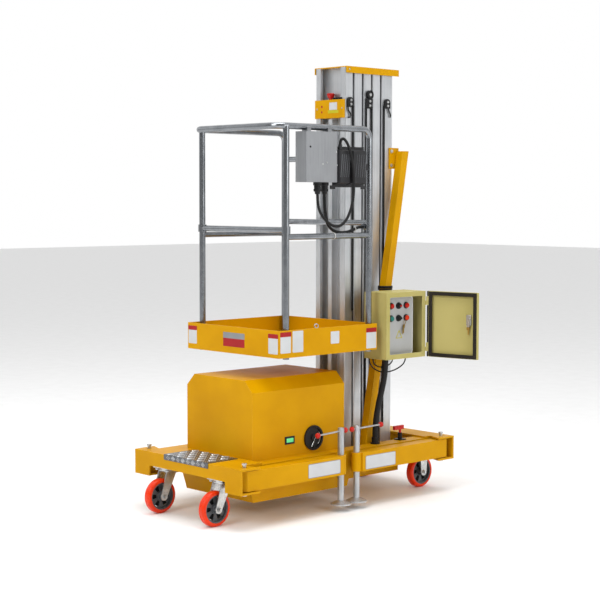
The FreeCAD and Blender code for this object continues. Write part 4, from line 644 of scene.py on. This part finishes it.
boards = {"x": 0.308, "y": -0.401, "paper": 0.0004, "corner": 0.004, "strip": (0.0003, 0.0008),
          "stripWider": 0.003, "stripCorner": 0.003}
plates = [
    # name, heading, middle across, middle up, width, height, header height
    ("front_far", -90, -0.274, 0.7635, 0.058, 0.080, 0.019),
    ("front_near", -90, 0.268, 0.759, 0.060, 0.086, 0.019),
    ("near_front", 0, -0.365, 0.765, 0.060, 0.090, 0.020),
    ("near_rear", 0, 0.156, 0.753, 0.063, 0.092, 0.020),
    ("near_second", 0, -0.294, 0.766, 0.062, 0.092, 0),
    ("near_small", 0, -0.072, 0.770, 0.052, 0.054, 0),
]
for name, heading, across, z, width, height, header in plates:
    at = (across, boards["y"], z) if heading else (boards["x"], across, z)
    paper = slab(roundedOutline(width, height, boards["corner"]), 0, boards["paper"])
    makePiece(f"plate_{name}", upright(paper, heading, at), "platform", vinylGrey)
    if header:
        strip = roundedOutline(width + boards["stripWider"], header, boards["stripCorner"])
        strip = moved(slab(strip, *boards["strip"]), (0, (height - header) / 2, 0))
        makePiece(f"header_{name}", upright(strip, heading, at), "platform", vinylRed)
loadPlate = {"x": 0.011, "width": 0.143, "corner": 0.001, "thick": 0.0005}
loadBands = [("load_upper", vinylEdge, 0.764, 0.790), ("load_lower", vinylRed, 0.728, 0.764)]
for name, vinyl, low, high in loadBands:
    card = slab(roundedOutline(loadPlate["width"], high - low, loadPlate["corner"]), 0, loadPlate["thick"])
    makePiece(name, upright(card, -90, (loadPlate["x"], boards["y"], (high + low) / 2)), "platform", vinyl)
eyeBolt = {"x": 0.302, "y": -0.180, "ringZ": 0.826, "radius": 0.0085, "wire": 0.0024, "turn": -60,
           "stalk": (0.812, 0.819), "stalkRadius": 0.003}
x, y = eyeBolt["x"], eyeBolt["y"]
eye = hoop((x, y, eyeBolt["ringZ"]), eyeBolt["radius"], eyeBolt["wire"], eyeBolt["turn"])
stalk = pipe([(x, y, z) for z in eyeBolt["stalk"]], eyeBolt["stalkRadius"])
makePiece("eye_bolt", [eye, stalk], "platform", zincPlate)
print("platform dressed")


# Control box: screws, a plug, dark gland nuts with tapered noses, the lid's edge, and ties round the cables

controlBox = {"face": 0.312, "low": 1.407, "glands": ((0.285, -0.159), (0.270, -0.102)),
              "screwHeight": 0.0025, "plug": (-0.226, 1.598), "plugHead": (0.0045, 0.003)}
boxScrews = [
    # radius, y, z
    (0.0042, -0.152, 1.525), (0.0042, -0.128, 1.531), (0.0035, -0.070, 1.578), (0.0035, -0.067, 1.521),
]
screws = [upright(roundHead(r, controlBox["screwHeight"]), 0, (controlBox["face"], y, z))
          for r, y, z in boxScrews]
makePiece("box_screws", screws, "platform", zincPlate)
plug = upright(roundHead(*controlBox["plugHead"]), 0, (controlBox["face"], *controlBox["plug"]))
glandSection = [(0.0131, 0.0), (0.0165, 0.001), (0.0172, 0.010), (0.0150, 0.012), (0.0150, 0.026),
                (0.0185, 0.027), (0.0185, 0.039), (0.0131, 0.040), (0.0131, 0.0)]
noseSection = [(0.0085, -0.012), (0.0105, -0.011), (0.0125, 0.0), (0.0085, 0.0), (0.0085, -0.012)]
glands = [turned(section, (x, y, controlBox["low"]), steps=24)
          for section in (glandSection, noseSection) for x, y in controlBox["glands"]]
makePiece("box_glands", [plug, *glands], "platform", blackMoulding)
lid = {"low": (0.2434, -0.2506, 1.6802), "high": (0.3126, -0.0654, 1.6818), "bevel": 0.0004}
makePiece("box_lid_edge", block(lid["low"], lid["high"], lid["bevel"]), "platform", greyBox)
cableTies = {"wire": 0.0012, "loops": (((0.280, -0.058, 1.213), 0.0155), ((0.2555, 0.100, 1.241), 0.0082))}
ties = [hoop(at, radius, cableTies["wire"], 90) for at, radius in cableTies["loops"]]
makePiece("cable_ties", ties, "platform", whiteNylon)
print("control box dressed")


# Charger: slim slanted ribs on its two lobes

charger = {"face": 0.3222, "lobes": ((-0.060, 0.000), (0.032, 0.100)), "margin": 0.006, "low": 1.470,
           "high": 1.570, "ribs": 5, "rib": 0.0016, "slant": 0.010}
climb = np.linspace(0, 1, 5)
ribs = []
for start, stop in charger["lobes"]:
    for y in np.linspace(start + charger["margin"], stop - charger["margin"], charger["ribs"]):
        path = np.column_stack([np.full(len(climb), charger["face"]), y + charger["slant"] * climb,
                                charger["low"] + (charger["high"] - charger["low"]) * climb])
        ribs.append(pipe(path, charger["rib"], 8))
makePiece("charger_ribs", ribs, "platform", hubBlack)
print("charger dressed")


# Outriggers: blank plates with a border on the arms, steel bars and red knobs on the jacks

arm = {"face": 0.354, "width": 0.194, "height": 0.062, "corner": 0.007, "border": 0.0025,
       "paperCorner": 0.005, "edgeRise": (0, 0.0004), "paperRise": (0.0003, 0.0007),
       "front": (-0.1775, 0.207), "rear": (0.1735, 0.203)}
width, height = arm["width"] - 2 * arm["border"], arm["height"] - 2 * arm["border"]
edge = slab(roundedOutline(arm["width"], arm["height"], arm["corner"]), *arm["edgeRise"])
paper = slab(roundedOutline(width, height, arm["paperCorner"]), *arm["paperRise"])
for end in ("front", "rear"):
    for side, heading, x in (("near", 0, arm["face"]), ("far", 180, -arm["face"])):
        at = (x, *arm[end])
        makePiece(f"arm_border_{end}_{side}", upright(edge, heading, at), f"arm_{end}_{side}", vinylEdge)
        makePiece(f"arm_plate_{end}_{side}", upright(paper, heading, at), f"arm_{end}_{side}", vinylGrey)
jack = {"x": 0.324, "y": 0.049, "barZ": 0.356, "bar": 0.004, "short": -0.032, "long": 0.168, "knob": 0.012}
jacks = [
    # end, side, x, y, heading of the bar
    ("front", "near", jack["x"], -jack["y"], -81), ("front", "far", -jack["x"], -jack["y"], -96),
    ("rear", "near", jack["x"], jack["y"], 94), ("rear", "far", -jack["x"], jack["y"], 102),
]
ball = [(jack["knob"] * math.sin(a), -jack["knob"] * math.cos(a)) for a in np.linspace(0, math.pi, 17)]
barReach = np.linspace(jack["short"] + 0.004, jack["long"] - 0.006, 6)[:, None]  # its ends lie in the knobs
for end, side, x, y, heading in jacks:
    middle = np.array([x, y, jack["barZ"]])
    away = np.array([math.cos(math.radians(heading)), math.sin(math.radians(heading)), 0])
    steel = pipe(middle + away * barReach, jack["bar"])
    bar = makePiece(f"bar_{end}_{side}", steel, f"jack_{end}_{side}", groundSteel)
    balls = [turned(ball, middle + away * jack[tip], steps=24) for tip in ("short", "long")]
    knobs = makePiece(f"knobs_{end}_{side}", balls, f"jack_{end}_{side}", redMoulding, 60)
    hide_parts(f"jack_bar_{end}_{side}")
    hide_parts(f"jack_bar_{end}_{side}")
print("outriggers dressed")


# Cabinet: coloured buttons, selector, keys, a blank triangle and a white edge round the panel

panel = {"face": 0.300, "columns": (0.290, 0.340, 0.390), "rows": (0.889, 0.832), "middle": (0.3355, 0.796),
         "width": 0.201, "height": 0.268, "corner": 0.014, "border": 0.004, "borderRise": (-0.001, 0.0025),
         "button": 0.0125}
edge = frameRing(roundedOutline(panel["width"], panel["height"], panel["corner"]), panel["border"],
                 *panel["borderRise"])
makePiece("panel_border", upright(edge, 0, (panel["face"], *panel["middle"])), "chassis", whiteNylon)
caps = [
    # finish, column, row
    (redMoulding, 0, 0), (redMoulding, 2, 0), (tealMoulding, 0, 1), (orangeMoulding, 2, 1),
    (blackMoulding, 1, 0), (blackMoulding, 1, 1),
]
hole, capRadius = panel["button"], panel["button"] - 0.001
domeSection = [(0, 0.004), (capRadius, 0.004), (capRadius, 0.012), (hole - 0.0028, 0.0142), (0, 0.0142)]
bezelSection = [(capRadius, 0), (hole + 0.003, 0), (hole + 0.0026, 0.005), (hole, 0.007), (capRadius, 0.007),
                (capRadius, 0)]
for number, (paint, column, row) in enumerate(caps, start=1):
    at = (panel["face"], panel["columns"][column], panel["rows"][row])
    cap = makePiece(f"button_{number}", turned(domeSection, at, "x"), "chassis", paint)
    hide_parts("switch_buttons")
bezels = [turned(bezelSection, (panel["face"], y, z), "x") for y in panel["columns"] for z in panel["rows"]]
makePiece("button_bezels", bezels, "chassis", blackMoulding)
selector = {"low": (0.314, 0.331, 0.828), "high": (0.3195, 0.349, 0.836), "bevel": 0.0015}
lever = block(selector["low"], selector["high"], selector["bevel"])
makePiece("selector_lever", lever, "chassis", blackMoulding)
insert = {"low": (0.3135, 0.338, 0.885), "high": (0.3175, 0.349, 0.893), "bevel": 0.0015}
slip = block(insert["low"], insert["high"], insert["bevel"])
makePiece("start_insert", slip, "chassis", redMoulding)
triangle = {"y": 0.346, "z": 0.752, "radius": 0.026, "band": 0.006, "thick": 0.0006}
tips = np.array([(math.sin(a), math.cos(a)) for a in np.arange(3) * 2 * math.pi / 3]) * triangle["radius"]
outline = np.concatenate([np.linspace(tips[k], tips[(k + 1) % 3], 6, endpoint=False) for k in range(3)])
sign = upright(frameRing(outline, triangle["band"], 0, triangle["thick"]), 0,
               (panel["face"], triangle["y"], triangle["z"]))
makePiece("warning_outline", sign, "chassis", vinylGreen)
keys = {"x": 0.304, "y": 0.374, "count": 3, "fan": 20, "step": 0.003, "ringX": 0.309, "ringZ": 0.812,
        "ring": 0.011, "wire": 0.0011, "bowZ": 0.793, "bow": (0.013, 0.016, 0.005), "bowThick": 0.0016,
        "bowStep": 0.004, "stemZ": 0.774, "stem": (0.005, 0.024, 0.001), "stemThick": 0.0014,
        "stemAside": 0.002, "stemStep": 0.007}
parts = [hoop((keys["ringX"], keys["y"], keys["ringZ"]), keys["ring"], keys["wire"], keys["fan"])]
bow = slab(roundedOutline(*keys["bow"]), 0, keys["bowThick"])
stem = slab(roundedOutline(*keys["stem"]), 0, keys["stemThick"])
for k in range(keys["count"]):
    x, turnedBy, drop = keys["x"] + keys["step"] * k, keys["fan"] * k, keys["step"] * k
    bowY, stemY = keys["y"] - keys["bowStep"] * k, keys["y"] - keys["stemAside"] - keys["stemStep"] * k
    parts.append(upright(bow, turnedBy, (x, bowY, keys["bowZ"] - drop)))
    parts.append(upright(stem, turnedBy, (x, stemY, keys["stemZ"] - drop)))
makePiece("key_bunch", parts, "chassis", brassKey)
print("cabinet panel dressed")


# Cabinet door: gasket, quarter-turn lock with its keys, and the strips between its hinges

door = {"hinge": (0.338, 0.496), "open": 101, "inner": -0.003, "free": -0.264, "near": -0.008, "low": 0.648,
        "high": 0.952, "gasket": 0.017, "gasketThick": 0.003, "gasketShort": (0.006, 0.004),
        "gasketCorner": 0.001, "stripAlong": 0.0042, "stripWidth": 0.0078, "stripCorner": 0.002,
        "stripRise": (-0.008, 0.0015, 0.001)}
lock = {"pastMiddle": 0.080, "z": 0.826, "out": -0.011, "plate": (0.026, 0.048, 0.004),
        "plateRise": (0, 0.004, 0.001), "handle": (0.015, 0.040, 0.003), "handleRise": (0.004, 0.010, 0.001),
        "handleDrop": 0.012}
lockKeys = {"out": -0.002, "bow": (0.014, 0.014, 0.005), "bowThick": 0.002, "bowDrop": 0.038,
            "stem": (0.006, 0.022, 0.001), "stemThick": 0.0015, "stemDrop": 0.054, "stemAside": 0.002}
swing = math.radians(door["open"])


def onDoor(part, along, z, out=0.0):
    # Sets a flat drawn part on the door's inner face: along is from the hinge, out is off the face.
    x, y = door["inner"] - out, -along
    place = (door["hinge"][0] + x * math.cos(swing) - y * math.sin(swing),
             door["hinge"][1] + x * math.sin(swing) + y * math.cos(swing), z)
    return upright(part, door["open"] + 180, place)


length, height = door["near"] - door["free"], door["high"] - door["low"]
middle, middleZ = -(door["near"] + door["free"]) / 2, (door["high"] + door["low"]) / 2
shortBy, lowBy = door["gasketShort"]
gasket = roundedOutline(length - shortBy, height - lowBy, door["gasketCorner"])
gasket = frameRing(gasket, door["gasket"], 0, door["gasketThick"])
makePiece("door_gasket", onDoor(gasket, middle, middleZ), "cabinet_door", gasketRubber)
handle = moved(slab(roundedOutline(*lock["handle"]), *lock["handleRise"]), (0, -lock["handleDrop"], 0))
lockBody = join(slab(roundedOutline(*lock["plate"]), *lock["plateRise"]), handle)
lockBody = onDoor(lockBody, middle + lock["pastMiddle"], lock["z"], lock["out"])
makePiece("door_lock", lockBody, "cabinet_door", zincPlate)
bow = slab(roundedOutline(*lockKeys["bow"]), 0, lockKeys["bowThick"])
bow = moved(bow, (0, -lockKeys["bowDrop"], 0))
stem = slab(roundedOutline(*lockKeys["stem"]), 0, lockKeys["stemThick"])
stem = moved(stem, (lockKeys["stemAside"], -lockKeys["stemDrop"], 0))
doorKeys = onDoor(join(bow, stem), middle + lock["pastMiddle"], lock["z"], lockKeys["out"])
makePiece("door_keys", doorKeys, "cabinet_door", brassKey)
knuckle = {"from": 0.024, "to": 0.066}  # each hinge, from the door's end
gaps = [(door["low"], door["low"] + knuckle["from"]),
        (door["low"] + knuckle["to"], door["high"] - knuckle["to"]),
        (door["high"] - knuckle["from"], door["high"])]
for number, (low, high) in enumerate(gaps, start=1):
    strip = slab(roundedOutline(door["stripWidth"], high - low, door["stripCorner"]), *door["stripRise"])
    makePiece(f"hinge_strip_{number}", onDoor(strip, door["stripAlong"], (low + high) / 2), "cabinet_door",
              gasketRubber)
print("cabinet door dressed")


# Power cover: the gauge's window, the lever inside the round port, and a bright zinc arc in the port that is
# a painted highlight on the inside of its rim

cover = {"face": 0.223, "gaugeY": -0.261, "gaugeZ": 0.326, "window": (0.040, 0.018, 0.002),
         "windowRise": (-0.0005, 0.0008, 0.0003)}
port = {"face": 0.2268, "y": -0.120, "z": 0.322, "arc": 0.037, "arcWire": 0.0012, "arcFrom": -0.9,
        "arcTo": 0.7, "lever": ((-0.114, 0.322), (-0.134, 0.284)), "leverRadius": 0.0024}
window = slab(roundedOutline(*cover["window"]), *cover["windowRise"])
makePiece("gauge_window", upright(window, 0, (cover["face"], cover["gaugeY"], cover["gaugeZ"])), "chassis",
          gaugeGreen)
lever = pipe([(port["face"], y, z) for y, z in port["lever"]], port["leverRadius"])
# The arc is a painted highlight: a bright zinc wire standing in for the light caught on the inside of the
# port's rim
t = np.linspace(port["arcFrom"], port["arcTo"], 14)
arc = pipe(np.column_stack([np.full(len(t), port["face"]), port["y"] + port["arc"] * np.cos(t),
                            port["z"] + port["arc"] * np.sin(t)]), port["arcWire"], 8)
makePiece("port_lever_and_highlight_arc", [lever, arc], "chassis", zincPlate)
print("cover dressed")


# Braces: the bolts of their top plates, and a black coil wound round the near one

brace = {"side": 0.103, "y": 0.498, "boltZ": (1.599, 1.533), "bolt": (0.013, 0.006)}
bolts = [upright(bolt(*brace["bolt"]), heading, (sign * brace["side"], brace["y"], z))
         for heading, sign in ((0, 1), (180, -1)) for z in brace["boltZ"]]
makePiece("brace_bolts", bolts, "chassis", zincPlate)
coil = {"radius": 0.032, "wire": 0.0032,
        "turns": ((0.154, 0.405, 0.9555), (0.151, 0.409, 0.9625), (0.157, 0.403, 0.969))}
t = np.linspace(0, 2 * math.pi, 11)
section = np.stack([coil["radius"] + coil["wire"] * np.cos(t), coil["wire"] * np.sin(t)], -1)
makePiece("brace_coil", [turned(section, at, steps=40) for at in coil["turns"]], "chassis", cableJacket)
print("braces bolted")
